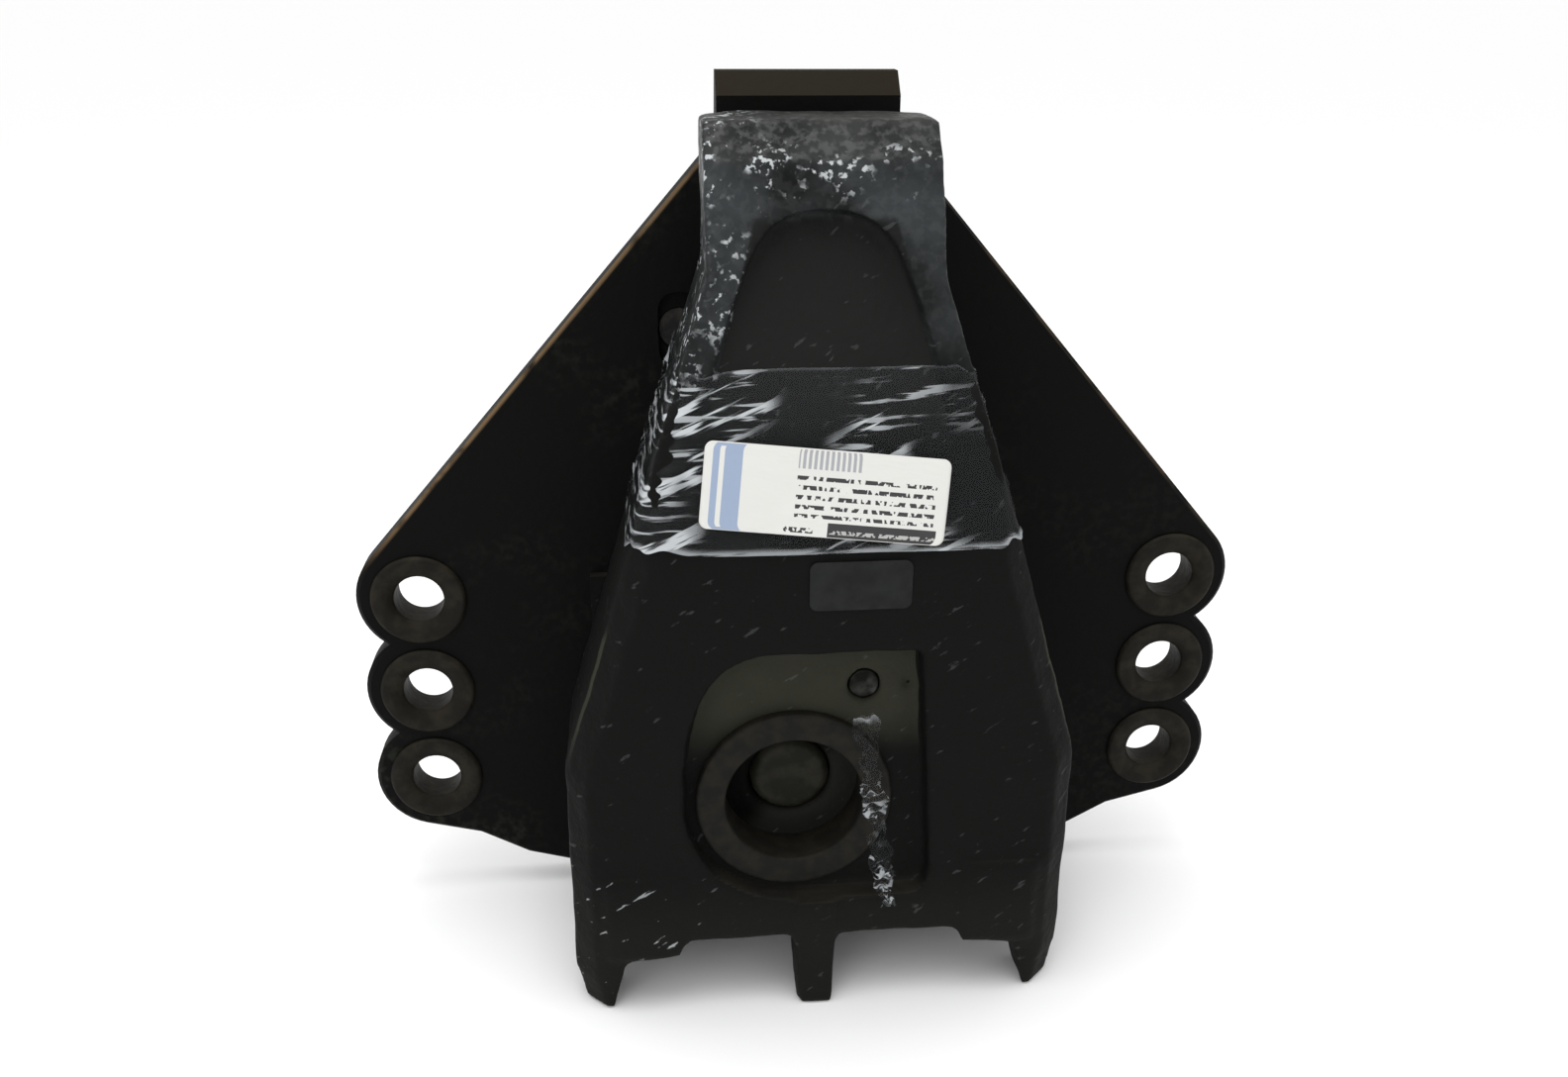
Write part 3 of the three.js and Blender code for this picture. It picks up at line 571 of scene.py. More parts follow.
@dataclass(frozen=True)
class PrintedLabel:
    """White paper with a blue block, a patch of grey bars, rows of dashes and a black bar: no lettering.

    A block is printed from u1 to u2 across and from v1 to v2 up, given as ((u1, u2), (v1, v2)).
    """

    paper: Colour = colour(0.66, 0.66, 0.63)
    blue: Colour = colour(0.28, 0.35, 0.48)
    grey: Colour = colour(0.33, 0.34, 0.36)
    ink: Colour = colour(0.02, 0.02, 0.022)
    blue_block: tuple = ((0.035, 0.155), (0.05, 0.93))
    blue_stripe: tuple = ((0.062, 0.082), (0.12, 0.86))
    grey_block: tuple = ((0.38, 0.64), (0.68, 0.92))
    dash_block: tuple = ((0.38, 0.95), (0.30, 0.64))
    small_block: tuple = ((0.34, 0.46), (0.12, 0.2))
    black_block: tuple = ((0.52, 0.965), (0.05, 0.27))
    black_dashes: Step = (0.13, 0.19)
    black_dash_cover: float = 0.6
    dash: Noise = (1, 1)
    dash_stretch: tuple = (60, 14, 1)
    dash_limit: float = 0.47
    row_count: float = 14
    row_share: Step = (0.25, 0.7)
    bar_count: float = 44
    bar_limit: float = 0.45
    wrinkle: Noise = (5, 3)
    wrinkle_depth: float = 0.0006
    roughness: float = 0.45
    coat: float = 0.25

    def material(self) -> Material:
        """Builds the finish from the label's own UV map, u across and v up."""
        graph = Graph("printed_label")
        across = graph.uv()
        u, v, _ = graph.axes(across)
        dashes = graph.noise(graph.stretched(across, self.dash_stretch), *self.dash).above(self.dash_limit)
        rows = (v * self.row_count).fraction().within(*self.row_share)
        bars = (u * self.bar_count).fraction().above(self.bar_limit)

        def block(place: tuple) -> Value:
            """One inside a printed block, else zero."""
            return u.within(*place[0]) * v.within(*place[1])

        sheet = graph.mix(block(self.blue_block), self.paper, self.blue)
        sheet = graph.mix(block(self.blue_stripe), sheet, self.paper)
        sheet = graph.mix(block(self.grey_block) * bars, sheet, self.grey)
        sheet = graph.mix(block(self.dash_block) * rows * dashes, sheet, self.ink)
        sheet = graph.mix(block(self.small_block) * dashes, sheet, self.ink)
        bar = block(self.black_block)
        sheet = graph.mix(bar, sheet, self.ink)
        pale = bar * dashes * v.within(*self.black_dashes) * self.black_dash_cover
        sheet = graph.mix(pale, sheet, self.paper)
        graph.bump(graph.noise(across, *self.wrinkle), self.wrinkle_depth)
        return graph.finish(Base_Color=sheet, Roughness=self.roughness, Coat_Weight=self.coat)


@dataclass(frozen=True)
class PlainSheet:
    """A soft dark sheet or plug with fine mottling."""

    name: str
    dark: Colour
    pale: Colour
    roughness: float
    mottle: Noise = (120, 4)
    mottle_step: Step = (0.3, 0.7)
    mottle_roughness: float = 0.15
    bump_depth: float = 0.0005
    specular: float = 0.15

    def material(self) -> Material:
        """Builds the finish."""
        graph = Graph(self.name)
        mottle = graph.noise(graph.place(), *self.mottle)
        graph.bump(mottle, self.bump_depth)
        tone = graph.mix(mottle.rise(*self.mottle_step), self.dark, self.pale)
        rough = self.roughness + mottle * self.mottle_roughness
        return graph.finish(Base_Color=tone, Roughness=rough, Specular_IOR_Level=self.specular)


def placed(name: str, data: bpy.types.ID) -> Object:
    """Puts a new object that shows a mesh, a light or a camera into the scene."""
    item = bpy.data.objects.new(name, data)
    bpy.context.scene.collection.objects.link(item)
    return item


def surface(name: str, points: np.ndarray, wrap_columns: bool) -> Object:
    """Makes a mesh of four-sided cells over a grid of points.

    Args:
        name: The piece's name.
        points: Rows by columns by 3 coordinates, in metres.
        wrap_columns: Joins the last column to the first.

    Returns:
        The new object, with a UV map that runs from 0 to 1 along columns and rows.
    """
    rows, columns, _ = points.shape
    index = np.arange(rows * columns).reshape(rows, columns)
    here = np.arange(rows - 1)[:, None]
    beside = np.arange(columns if wrap_columns else columns - 1)[None, :]
    below, after = here + 1, (beside + 1) % columns
    cells = np.stack(
        [index[here, beside], index[here, after], index[below, after], index[below, beside]], -1
    ).reshape(-1, 4)
    mesh = bpy.data.meshes.new(name)
    mesh.from_pydata(points.reshape(-1, 3).tolist(), [], cells.tolist())
    row, column = np.broadcast_arrays(here, beside)
    corner_row = np.stack([row, row, row + 1, row + 1], -1)
    corner_column = np.stack([column, column + 1, column + 1, column], -1)
    uv = np.stack([corner_column / max(columns - 1, 1), corner_row / max(rows - 1, 1)], -1)
    uv = uv.astype(np.float32)
    mesh.uv_layers.new(name=UV_NAME).data.foreach_set("uv", uv.ravel())
    return placed(name, mesh)


def cleaned(piece: Object, distance: float = JOIN_DISTANCE) -> Object:
    """Merges doubled points and turns the faces of a closed piece outwards."""
    made = bmesh.new()
    made.from_mesh(piece.data)
    bmesh.ops.remove_doubles(made, verts=made.verts, dist=distance)
    bmesh.ops.dissolve_degenerate(made, edges=made.edges, dist=distance / 2)
    bmesh.ops.recalc_face_normals(made, faces=made.faces)
    made.to_mesh(piece.data)
    made.free()
    return piece


def rounded(profile: np.ndarray, radius: float) -> np.ndarray:
    """Rounds a profile's inner corners with quadratic curves.

    Each corner P between neighbours A and B becomes (1-t)^2 A' + 2t(1-t) P + t^2 B', where A' and
    B' lie on the two sides, at the radius or at CORNER_SIDE_SHARE of the side from P, whichever is
    nearer.

    Args:
        profile: Points by 2 coordinates.
        radius: The distance from the corner where the curve starts, in metres.

    Returns:
        The rounded profile.
    """
    corner, before, after = profile[1:-1], profile[:-2], profile[2:]
    to_before, to_after = before - corner, after - corner
    length_before = np.linalg.norm(to_before, axis=1, keepdims=True)
    length_after = np.linalg.norm(to_after, axis=1, keepdims=True)
    start = corner + to_before / length_before * np.minimum(radius, CORNER_SIDE_SHARE * length_before)
    end = corner + to_after / length_after * np.minimum(radius, CORNER_SIDE_SHARE * length_after)
    t = np.linspace(0, 1, CORNER_STEPS + 1)[None, :, None]
    curves = (1 - t) ** 2 * start[:, None] + 2 * t * (1 - t) * corner[:, None]
    curves = curves + t**2 * end[:, None]
    return np.concatenate([profile[:1], curves.reshape(-1, 2), profile[-1:]])


def axis(low: Sequence[float], high: Sequence[float]) -> tuple[float, float]:
    """The X and Z of the axis of a round piece that lies along Y in a box."""
    return (low[0] + high[0]) / 2, (low[2] + high[2]) / 2


def turned(name: str, profile: Sequence, centre: Sequence[float], radius: float, steps: int) -> Object:
    """Turns a profile of (radius, depth) points about an axis along Y.

    A point at angle a is (cx + r cos a, depth, cz + r sin a), in metres.

    Args:
        name: The piece's name.
        profile: Points in metres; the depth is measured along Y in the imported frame.
        centre: The axis's X and Z.
        radius: How far the corners are rounded.
        steps: Cells around the axis.

    Returns:
        The new closed object.
    """
    line = rounded(np.array(profile, dtype=float), radius)
    angle = np.linspace(0, 2 * math.pi, steps, endpoint=False)
    reach, depth = line[:, :1], line[:, 1:]
    x = centre[0] + reach * np.cos(angle)
    z = centre[1] + reach * np.sin(angle)
    y = depth + 0 * x
    piece = cleaned(surface(name, np.stack([x, y, z], -1), True))
    piece.data.shade_smooth()
    piece.data.set_sharp_from_angle(angle=TURNED_CORNER)
    return piece


def ripple(points: np.ndarray, length: float, waves: int, seed: int) -> np.ndarray:
    """Smooth pseudo-random height from -1 to 1: the mean of plane waves in random directions.

    Args:
        points: Points by 3 coordinates.
        length: The typical wavelength in metres.
        waves: How many waves are added.
        seed: Fixes the directions and phases.

    Returns:
        One height for each point.
    """
    draw = np.random.default_rng(seed)
    direction = draw.normal(size=(3, waves))
    direction *= 2 * math.pi / length / np.linalg.norm(direction, axis=0)
    phase = draw.uniform(0, 2 * math.pi, waves)
    return np.sin(points @ direction + phase).sum(axis=1) / math.sqrt(waves)


def coordinates(mesh: Mesh, what: str = "co") -> np.ndarray:
    """The mesh's points or their normals, as a table of 3 columns."""
    values = np.empty(len(mesh.vertices) * 3, dtype=np.float64)
    source = mesh.vertices if what == "co" else mesh.vertex_normals
    source.foreach_get("co" if what == "co" else "vector", values)
    return values.reshape(-1, 3)


def merged_copy(name: str, node: str) -> Object:
    """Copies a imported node's mesh into a new object and joins its loose triangles."""
    piece = placed(name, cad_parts[node].data.copy())
    piece.data.materials.clear()
    return cleaned(piece, CAD_JOIN_DISTANCE)


def settle(piece: Object) -> None:
    """Writes a piece's modifiers into its mesh."""
    graph = bpy.context.evaluated_depsgraph_get()
    made = bpy.data.meshes.new_from_object(piece.evaluated_get(graph))
    piece.modifiers.clear()
    piece.data = made


def dress(piece: Object, finish: Material, slot: Slot, body: Body, *nodes: str) -> None:
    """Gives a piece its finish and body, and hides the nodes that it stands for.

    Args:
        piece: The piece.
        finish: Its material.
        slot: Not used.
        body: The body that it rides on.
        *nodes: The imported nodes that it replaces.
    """
    piece.data.materials.clear()
    piece.data.materials.append(finish)
    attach(piece, body.value)
    if nodes:
        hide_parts(*nodes)
    log.info("%s: %d points on %s", piece.name, len(piece.data.vertices), body.value)


def softened(node: str, width: float) -> Object:
    """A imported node's copy with flat faces joined and its edges eased by a small bevel.

    Only small faces are shaded smooth, so that the large flat ones show no streaks.
    """
    piece = merged_copy(f"{node}_skin", node)
    made = bmesh.new()
    made.from_mesh(piece.data)
    bmesh.ops.dissolve_limit(made, angle_limit=FLAT_ANGLE, verts=made.verts, edges=made.edges)
    made.to_mesh(piece.data)
    made.free()
    bevel = piece.modifiers.new("eased edges", "BEVEL")
    bevel.width = width
    bevel.segments = BEVEL_SEGMENTS
    bevel.limit_method = "ANGLE"
    bevel.angle_limit = BEVEL_ANGLE
    settle(piece)
    for face in piece.data.polygons:
        face.use_smooth = face.area < LARGEST_SMOOTH_FACE
    return piece


@dataclass
class Casting:
    """The hollow tooth casting with its bush, retaining pin, keeper and plug."""

    voxel: float = 0.0022
    smooth_factor: float = 0.5
    smoothing: int = 7
    bore_radius: float = 0.035
    bush_wall: float = 0.005
    bush_flange_depth: float = 0.0076
    bush_round: float = 0.0022
    surface_wave: float = 0.00028
    long_wave: tuple = (0.045, 12, 3)
    short_wave: tuple = (0.017, 14, 5)
    short_share: float = 0.6
    pin_chamfer: float = 3 * MM
    small_chamfer: float = MM
    chamfer_round: float = 0.6
    plug_keep: float = 0.53
    steel: WornSteel = WornSteel(
        "worn_ring", colour(0.0080, 0.0080, 0.0070), colour(0.017, 0.015, 0.011), 0.0, 0.46
    )
    pin: WornSteel = WornSteel(
        "oiled_pin", colour(0.012, 0.012, 0.009), colour(0.028, 0.027, 0.020), 0.1, 0.42
    )
    bright: WornSteel = WornSteel(
        "bright_keeper", colour(0.006, 0.006, 0.005), colour(0.05, 0.05, 0.046), 0.7, 0.2
    )
    rubber: PlainSheet = PlainSheet(
        "plug_rubber", colour(0.008, 0.008, 0.008), colour(0.018, 0.018, 0.018), 0.75
    )

    def shell(self) -> Object:
        """The casting's skin: sharp solids melted into cast fillets, then pushed about by ripples."""
        piece = merged_copy("tooth_casting_skin", "tooth_casting")
        remesh = piece.modifiers.new("melt", "REMESH")
        remesh.mode = "VOXEL"
        remesh.voxel_size = self.voxel
        smooth = piece.modifiers.new("fillets", "SMOOTH")
        smooth.factor = self.smooth_factor
        smooth.iterations = self.smoothing
        settle(piece)
        points = coordinates(piece.data)
        normals = coordinates(piece.data, "normal")
        height = ripple(points, *self.long_wave) + self.short_share * ripple(points, *self.short_wave)
        points += normals * (height * self.surface_wave)[:, None]
        piece.data.vertices.foreach_set("co", points.ravel())
        piece.data.update()
        piece.data.shade_smooth()
        return piece

    def bush(self) -> Object:
        """The bush: a flat flange round the bore and a sleeve that runs into it."""
        low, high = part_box("pin_bush")
        outer = (high[0] - low[0]) / 2
        sleeve = self.bore_radius + self.bush_wall
        step = low[1] + self.bush_flange_depth
        middle = (low[1] + high[1]) / 2
        profile = [
            (self.bore_radius, middle),
            (self.bore_radius, low[1]),
            (outer, low[1]),
            (outer, step),
            (sleeve, step),
            (sleeve, high[1]),
            (self.bore_radius, high[1]),
            (self.bore_radius, middle),
        ]
        return turned("pin_bush_turned", profile, axis(low, high), self.bush_round, BUSH_STEPS)

    def round_bar(self, node: str, chamfer: float) -> Object:
        """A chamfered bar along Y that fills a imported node's box."""
        low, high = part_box(node)
        radius = (high[0] - low[0]) / 2
        profile = [
            (0, low[1]),
            (radius - chamfer, low[1]),
            (radius, low[1] + chamfer),
            (radius, high[1] - chamfer),
            (radius - chamfer, high[1]),
            (0, high[1]),
        ]
        easing = chamfer * self.chamfer_round
        return turned(f"{node}_turned", profile, axis(low, high), easing, SMALL_STEPS)

    def build(self) -> None:
        """Makes and dresses the casting's pieces."""
        ring = self.steel.material()
        dress(self.shell(), CastPaint().material(), Slot.CASTING, Body.ROOT, "tooth_casting")
        dress(self.bush(), ring, Slot.RING, Body.ROOT, "pin_bush")
        pin = self.round_bar("retaining_pin", self.pin_chamfer)
        dress(pin, self.pin.material(), Slot.PIN, Body.LOCK_PIN, "retaining_pin")
        keeper = self.round_bar("keeper_pin", self.small_chamfer)
        dress(keeper, self.bright.material(), Slot.PIN, Body.KEEPER, "keeper_pin")
        plug = self.round_bar("keeper_plug", self.small_chamfer)
        dress(plug, self.rubber.material(), Slot.RUBBER, Body.ROOT, "keeper_plug")
        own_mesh(plug)


@dataclass
class Rear:
    """The spine bar with its boss, wing plates, hole rings, plough bolts and nuts.

    The ring's mouth points are (outwards from the hole, back from the front), both as shares of
    how far the ring stands proud.
    """

    edge_ease: float = 0.0012
    small_ease: float = 0.0005
    hole_radius: float = 0.0135
    ring_proud: float = 0.003
    ring_wall: float = 0.0045
    ring_round: float = 0.0012
    ring_depth: float = 0.87
    mouth_low: tuple = (1.3, 0.25)
    mouth_high: float = 2.2
    ring: WornSteel = WornSteel(
        "hole_ring", colour(0.009, 0.008, 0.006), colour(0.021, 0.018, 0.012), 0.0, 0.44
    )
    bolt: WornSteel = WornSteel(
        "bolt_steel", colour(0.022, 0.022, 0.022), colour(0.055, 0.050, 0.042), 0.45, 0.42
    )

    def hole_ring(self, node: str) -> Object:
        """A raised ring with a dished mouth, and the sleeve behind it that lines the hole."""
        low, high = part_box(node)
        outer = (high[0] - low[0]) / 2
        sleeve = self.hole_radius + self.ring_wall
        middle = (low[1] + high[1]) / 2
        back = low[1] + self.ring_proud * self.ring_depth
        outwards, backwards = self.mouth_low
        profile = [
            (self.hole_radius, middle),
            (self.hole_radius, low[1] + self.ring_proud),
            (self.hole_radius + self.ring_proud * outwards, low[1] + self.ring_proud * backwards),
            (self.hole_radius + self.ring_proud * self.mouth_high, low[1]),
            (outer - self.ring_proud / 2, low[1]),
            (outer, low[1] + self.ring_proud / 2),
            (outer, back),
            (sleeve, back),
            (sleeve, high[1]),
            (self.hole_radius, high[1]),
            (self.hole_radius, middle),
        ]
        return turned(f"{node}_turned", profile, axis(low, high), self.ring_round, SMALL_STEPS)

    def build(self) -> None:
        """Makes and dresses the rear pieces."""
        plate, cast = PlatePaint().material(), CastPaint().material()
        ring, bolt = self.ring.material(), self.bolt.material()
        for node in ("spine_bar", *(f"wing_{side}" for side in SIDES)):
            dress(softened(node, self.edge_ease), plate, Slot.WING, Body.ROOT, node)
        dress(softened("t_boss", self.edge_ease), cast, Slot.CASTING, Body.ROOT, "t_boss")
        for side in SIDES:
            for number in HOLES:
                hole = f"hole_ring_{side}_{number}"
                dress(self.hole_ring(hole), ring, Slot.RING, Body.ROOT, hole)
                for kind in ("bolt", "nut"):
                    node = f"plough_{kind}_{side}_{number}"
                    dress(softened(node, self.small_ease), bolt, Slot.PIN, Body.ROOT, node)


@dataclass
class Wrapping:
    """The stretch film band, its loose tail, the label on it and the tab under it.

    The casting's half width and how far its face leans back are given at three levels. A crease
    or wander wave is given by its numbers in the order that its method uses them.
    """

    film_gap: float = 0.0016
    film_crease: float = 0.0007
    face_inset: float = 0.004
    corner_power: float = 0.16
    levels: tuple = (0.250, 0.256, 0.383)
    halves: tuple = (0.0968, 0.095, 0.055)
    leans: tuple = (0.0, 0.00135, 0.030)
    rows: int = 70
    columns: int = 420
    arc_height: float = 0.3
    arc_samples: int = 20001
    edge_wander: float = 0.004
    wander_reach: float = 0.45
    wander_waves: tuple = ((1, 3, 1), (0.6, 7, 0), (0.4, 13, 2))
    slant_squeeze: tuple = (0.35, 0.35, 1.0)
    slant_wave: tuple = (0.009, 10, 11)
    level_squeeze: tuple = (0.12, 0.12, 1.0)
    level_wave: tuple = (0.006, 10, 12)
    crease_limits: tuple = (-1, 2)
    tail_flat: tuple = (0.016, 0.116)
    tail_rows: int = 150
    tail_columns: int = 15
    tail_margin: float = 0.007
    tail_half_width: float = 0.0072
    tail_least_width: float = 0.55
    tail_slow_pinch: tuple = (0.35, 9, 1)
    tail_quick_pinch: tuple = (0.1, 31)
    tail_sway: tuple = (0.0011, 47)
    tail_forward: float = 0.001
    tail_fold: float = 0.0011
    tail_folds: tuple = ((95, 5), (61, -4), (14, 6))
    label_size: tuple = (0.115, 0.041)
    label_tilt: float = math.radians(6)
    label_lift: float = 0.0006
    tab_lift: float = 0.0005
    sheet_corner: float = 0.004
    sheet_rows: int = 41
    sheet_columns: int = 81
    sheet_wave_x: tuple = (34, 3)
    sheet_wave_z: tuple = (60, 1)
    sheet_slant: tuple = (0.5, 90, 70)
    paper: float = 0.00025
    film: StretchFilm = StretchFilm("film_wrap", 0.10, 0.72, 0.42)
    loose_film: StretchFilm = StretchFilm("film_tail_crimp_and_highlights", 0.10, 0.55, 0.2, (30.0, 30.0, 60.0))
    tape: PlainSheet = PlainSheet(
        "grey_tape", colour(0.006, 0.006, 0.0065), colour(0.012, 0.0125, 0.013), 0.45
    )

    def section(self, height: np.ndarray, around: np.ndarray) -> np.ndarray:
        """A point on the wrap at a height and a share of the way round.

        The section is a rectangle round the casting whose corners are eased by a superellipse:
        x = a sign(cos t) |cos t|^k, y = cy + b sign(sin t) |sin t|^k, with k well under 1.

        Args:
            height: Z of each point, in metres.
            around: Each point's share of the way round, from 0 at the middle of the front.

        Returns:
            The points, with their 3 coordinates on the last axis.
        """
        low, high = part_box("tooth_casting")
        face = low[1] + self.face_inset
        half = np.interp(height, self.levels, self.halves) + self.film_gap
        front = face + np.interp(height, self.levels, self.leans) - self.film_gap
        back = high[1] + self.film_gap
        angle = 2 * math.pi * around - math.pi / 2
        power = self.corner_power
        x = half * np.sign(np.cos(angle)) * np.abs(np.cos(angle)) ** power
        depth = (back - front) / 2
        y = (front + back) / 2 + depth * np.sign(np.sin(angle)) * np.abs(np.sin(angle)) ** power
        return np.stack([x, y, height + 0 * x], -1)

    def even(self, rows: int, columns: int) -> np.ndarray:
        """Shares round the section that space its points evenly, from one section's arc length."""
        fine = np.linspace(0, 1, self.arc_samples)
        points = self.section(np.full_like(fine, self.arc_height), fine)
        run = np.concatenate([[0], np.cumsum(np.linalg.norm(np.diff(points, axis=0), axis=1))])
        share = np.interp(np.linspace(0, run[-1], columns, endpoint=False), run, fine)
        return np.tile(share, (rows, 1))

    def band(self) -> Object:
        """The band: the section swept up, with creases that run level and slantwise."""
        low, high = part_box("film_band")
        share = self.even(self.rows, self.columns)
        up = np.linspace(0, 1, self.rows)[:, None]
        turn = 2 * math.pi * share
        wander = sum(size * np.sin(count * turn + phase) for size, count, phase in self.wander_waves)
        height = low[2] + self.edge_wander + (high[2] - low[2] - 2 * self.edge_wander) * up
        height = height + wander * self.edge_wander * self.wander_reach * (2 * up - 1)
        points = self.section(height, share)
        centre = points.mean(axis=(0, 1), keepdims=True)
        outwards = (points - centre) * np.array([1, 1, 0])
        outwards /= np.linalg.norm(outwards, axis=-1, keepdims=True)
        flat = points.reshape(-1, 3)
        slant = ripple(flat * np.array(self.slant_squeeze), *self.slant_wave)
        level = ripple(flat * np.array(self.level_squeeze), *self.level_wave)
        crease = ((slant + level) / 2).reshape(self.rows, self.columns, 1)
        points = points + outwards * np.clip(crease, *self.crease_limits) * self.film_crease
        piece = surface("film_band_wrap", points, True)
        piece.data.shade_smooth()
        return piece

    def tail(self) -> Object:
        """The tail: a strip that drifts right as it hangs, crimped across its width."""
        low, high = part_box("film_tail")
        down = np.linspace(0, 1, self.tail_rows)[:, None]
        across = np.linspace(-1, 1, self.tail_columns)[None, :]
        drift = (high[0] - low[0] - 2 * self.tail_margin) * down
        slow, slow_turns, slow_start = self.tail_slow_pinch
        quick, quick_turns = self.tail_quick_pinch
        pinch = self.tail_least_width + slow * np.sin(slow_turns * down + slow_start) ** 2
        pinch = pinch + quick * np.sin(quick_turns * down)
        sway, sway_turns = self.tail_sway
        x = low[0] + self.tail_margin + drift + self.tail_half_width * pinch * across
        x = x + sway * np.sin(sway_turns * down)
        z = high[2] - (high[2] - low[2]) * down + 0 * across
        fold = sum(np.sin(along * down + over * across) for along, over in self.tail_folds)
        y = (low[1] + high[1]) / 2 - self.tail_forward - self.tail_fold * fold
        piece = surface("film_tail_strip", np.stack([x, y, z], -1), False)
        piece.data.shade_smooth()
        return piece

    def sheet_on_face(
        self, name: str, size: tuple, centre: Sequence[float], lean: float, tilt: float, lift: float
    ) -> Object:
        """A thin rectangle with round corners, tilted in its plane and leaned back with the face.

        A row at distance d from the nearer end is narrowed by r - sqrt(r^2 - (r-d)^2) while d < r.

        Args:
            name: The piece's name.
            size: Its width and height in metres.
            centre: The middle of the sheet.
            lean: How far it leans back, in radians.
            tilt: How far it turns in its own plane, in radians.
            lift: How far its waves stand out, in metres.

        Returns:
            The new closed object.
        """
        width, tall = size
        corner = self.sheet_corner
        v = np.sin(np.linspace(-0.5, 0.5, self.sheet_rows) * math.pi)[:, None] * tall / 2
        u = np.linspace(-1, 1, self.sheet_columns)[None, :]
        near = np.minimum(tall / 2 - np.abs(v), corner)
        narrow = corner - np.sqrt(corner**2 - (corner - near) ** 2)
        x = u * (width / 2 - narrow)
        z = v + 0 * x
        (turns_x, start_x), (turns_z, start_z) = self.sheet_wave_x, self.sheet_wave_z
        share, slant_x, slant_z = self.sheet_slant
        wave = np.sin(turns_x * x + start_x) * np.sin(turns_z * z + start_z)
        wave = lift * (wave + share * np.sin(slant_x * x + slant_z * z))
        points = np.stack([x, -np.abs(wave), z], -1)
        turn = np.array(Euler((-lean, 0, 0)).to_matrix() @ Euler((0, tilt, 0)).to_matrix())
        points = points @ turn.T + np.array(centre)
        piece = surface(name, points, False)
        sheet = piece.modifiers.new("thickness", "SOLIDIFY")
        sheet.thickness = self.paper
        settle(piece)
        piece.data.shade_smooth()
        return piece

    def build(self) -> None:
        """Makes and dresses the film, the label and the tab."""
        band = self.band()
        dress(band, self.film.material(), Slot.FILM, Body.ROOT, "film_band")
        tail = self.tail()
        dress(tail, self.loose_film.material(), Slot.FILM, Body.ROOT, "film_tail")
        low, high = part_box("label")
        centre = [(a + b) / 2 for a, b in zip(low, high)]
        lean = math.atan2(self.leans[2], self.levels[2] - self.levels[0])
        tilt, lift = self.label_tilt, self.label_lift
        label = self.sheet_on_face("label_sheet", self.label_size, centre, lean, tilt, lift)
        dress(label, PrintedLabel().material(), Slot.LABEL, Body.ROOT, "label")
        low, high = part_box("film_tab")
        centre = [(a + b) / 2 for a, b in zip(low, high)]
        size = (high[0] - low[0], high[2] - low[2])
        tab = self.sheet_on_face("film_tab_sheet", size, centre, 0.0, 0.0, self.tab_lift)
        dress(tab, self.tape.material(), Slot.TAPE, Body.ROOT, "film_tab")


@dataclass(frozen=True)
class Lamp:
    """One square soft light: where it stands, the point it faces, its side and its power."""

    name: str
    place: tuple
    aim: tuple
    size: float
    power: float

    def build(self) -> None:
        """Hangs the light."""
        light = bpy.data.lights.new(self.name, "AREA")
        light.size = self.size
        light.energy = self.power
        lamp = placed(self.name, light)
        lamp.location = self.place
        facing = Vector(self.aim) - Vector(self.place)
        lamp.rotation_euler = facing.to_track_quat("-Z", "Y").to_euler()


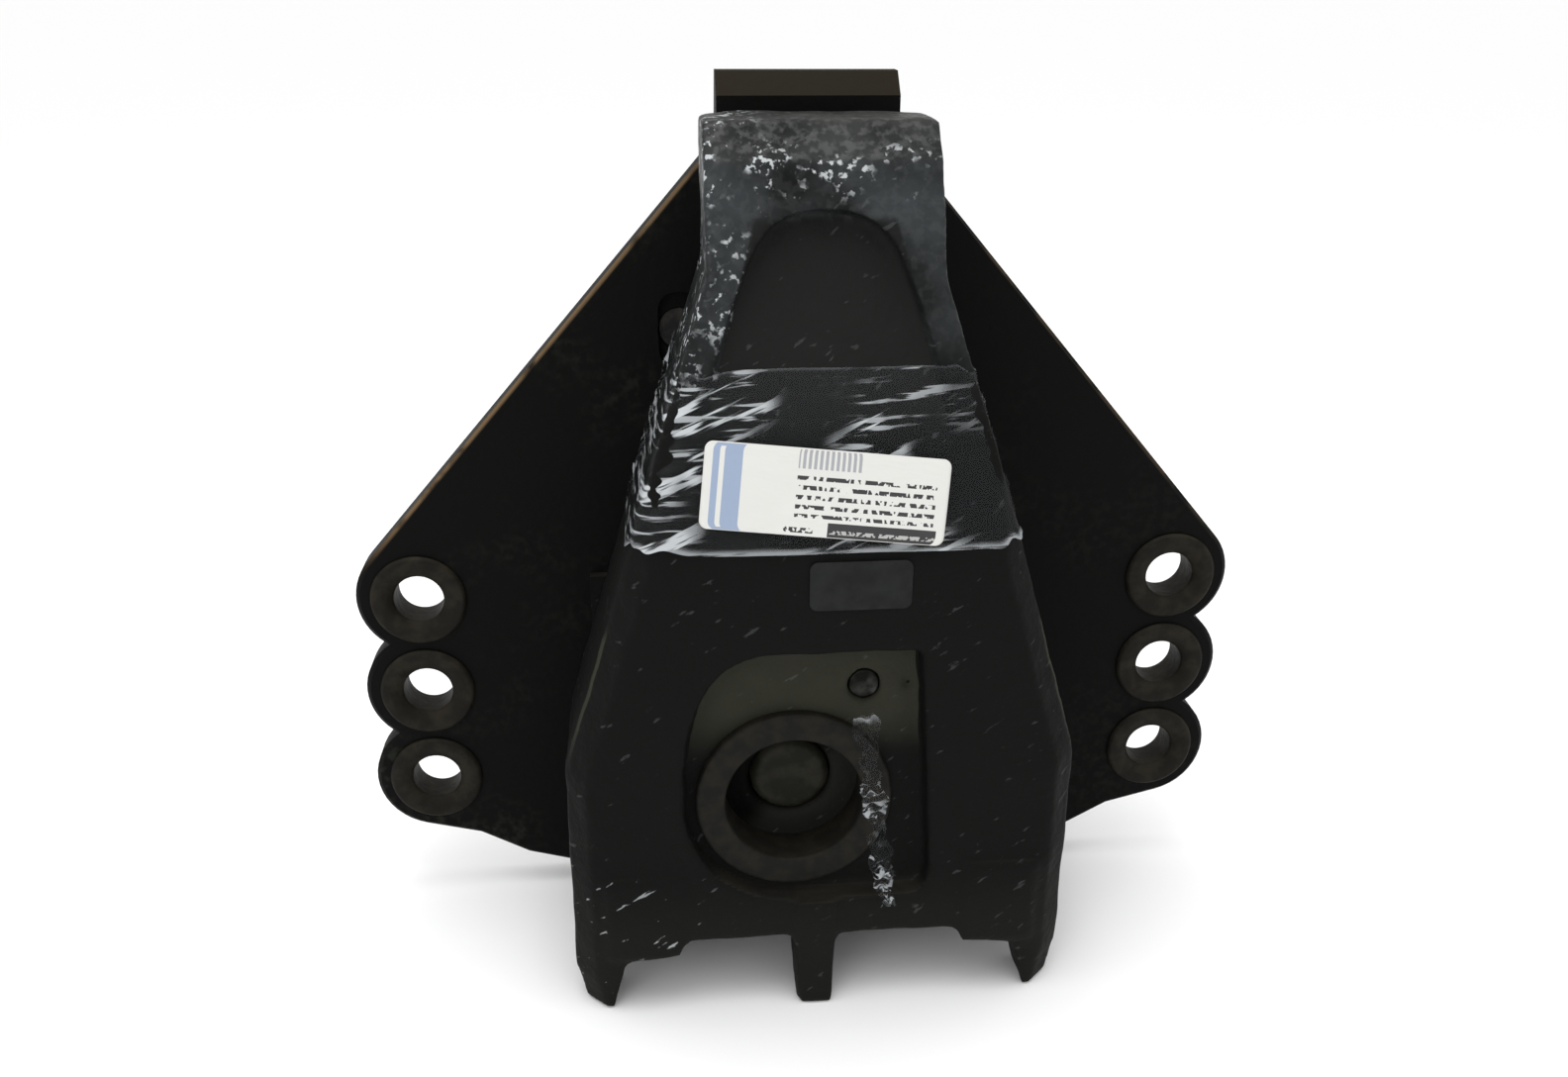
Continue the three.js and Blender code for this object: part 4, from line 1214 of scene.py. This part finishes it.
@dataclass
class Studio:
    """A pale floor, soft lights and the camera."""

    stand_off: tuple = (-0.0779, -0.6706, 0.5128)
    pitch: float = math.radians(22.47)
    yaw: float = math.radians(5.43)
    roll: float = math.radians(-0.37)
    lens: float = 31.82
    nearest: float = 0.02
    floor_size: float = 120.0
    floor_points: int = 9
    floor_drop: float = 0.0005
    floor_colour: Colour = colour(0.94, 0.94, 0.94)
    floor_roughness: float = 0.95
    sky: Colour = colour(1.0, 1.0, 1.0)
    ambient: float = 0.82
    overhead: float = 0.75
    overhead_spread: float = math.radians(80)
    overhead_height: float = 3
    lamps: tuple = (
        Lamp("top", (-0.2, -0.15, 1.9), (0, 0, 0.2), 1.2, 14),
        Lamp("front", (-1.1, -1.9, 1.4), (0, 0, 0.25), 1.0, 5),
    )

    def forward(self) -> Vector:
        """The direction that the camera looks in."""
        return Vector((
            math.sin(self.yaw) * math.cos(self.pitch),
            math.cos(self.yaw) * math.cos(self.pitch),
            -math.sin(self.pitch),
        ))

    def floor(self) -> None:
        """A plain pale floor under the feet."""
        half = self.floor_size / 2
        line = np.linspace(-half, half, self.floor_points)
        x, y = np.meshgrid(line, line)
        floor = surface("floor", np.stack([x, y, 0 * x - self.floor_drop], -1), False)
        paint = Graph("pale_floor").finish(
            Base_Color=self.floor_colour, Roughness=self.floor_roughness
        )
        floor.data.materials.append(paint)

    def sun(self) -> None:
        """A wide soft light from straight above."""
        light = bpy.data.lights.new("overhead", "SUN")
        light.energy = self.overhead
        light.angle = self.overhead_spread
        placed("overhead", light).location = (0, 0, self.overhead_height)

    def camera(self) -> None:
        """The camera, in front of the casting and a little to its left, looking down."""
        data = bpy.data.cameras.new("camera")
        data.lens = self.lens
        data.clip_start = self.nearest
        camera = placed("camera", data)
        camera.location = self.stand_off
        aim = self.forward().to_track_quat("-Z", "Y").to_matrix()
        camera.rotation_euler = (aim @ Euler((0, 0, -self.roll)).to_matrix()).to_euler()
        bpy.context.scene.camera = camera

    def build(self) -> None:
        """Sets the stage."""
        self.floor()
        self.sun()
        self.camera()
        world = bpy.data.worlds.new("studio")
        world.use_nodes = True
        background = world.node_tree.nodes["Background"]
        background.inputs["Color"].default_value = self.sky
        background.inputs["Strength"].default_value = self.ambient
        bpy.context.scene.world = world
        bpy.context.scene.view_settings.view_transform = "Standard"
        for lamp in self.lamps:
            lamp.build()


def main() -> None:
    """Builds every part of the scene in order."""
    logging.basicConfig(level=logging.INFO, format="%(message)s")
    Studio().build()
    Casting().build()
    Rear().build()
    Wrapping().build()


if __name__ == "__main__":
    main()
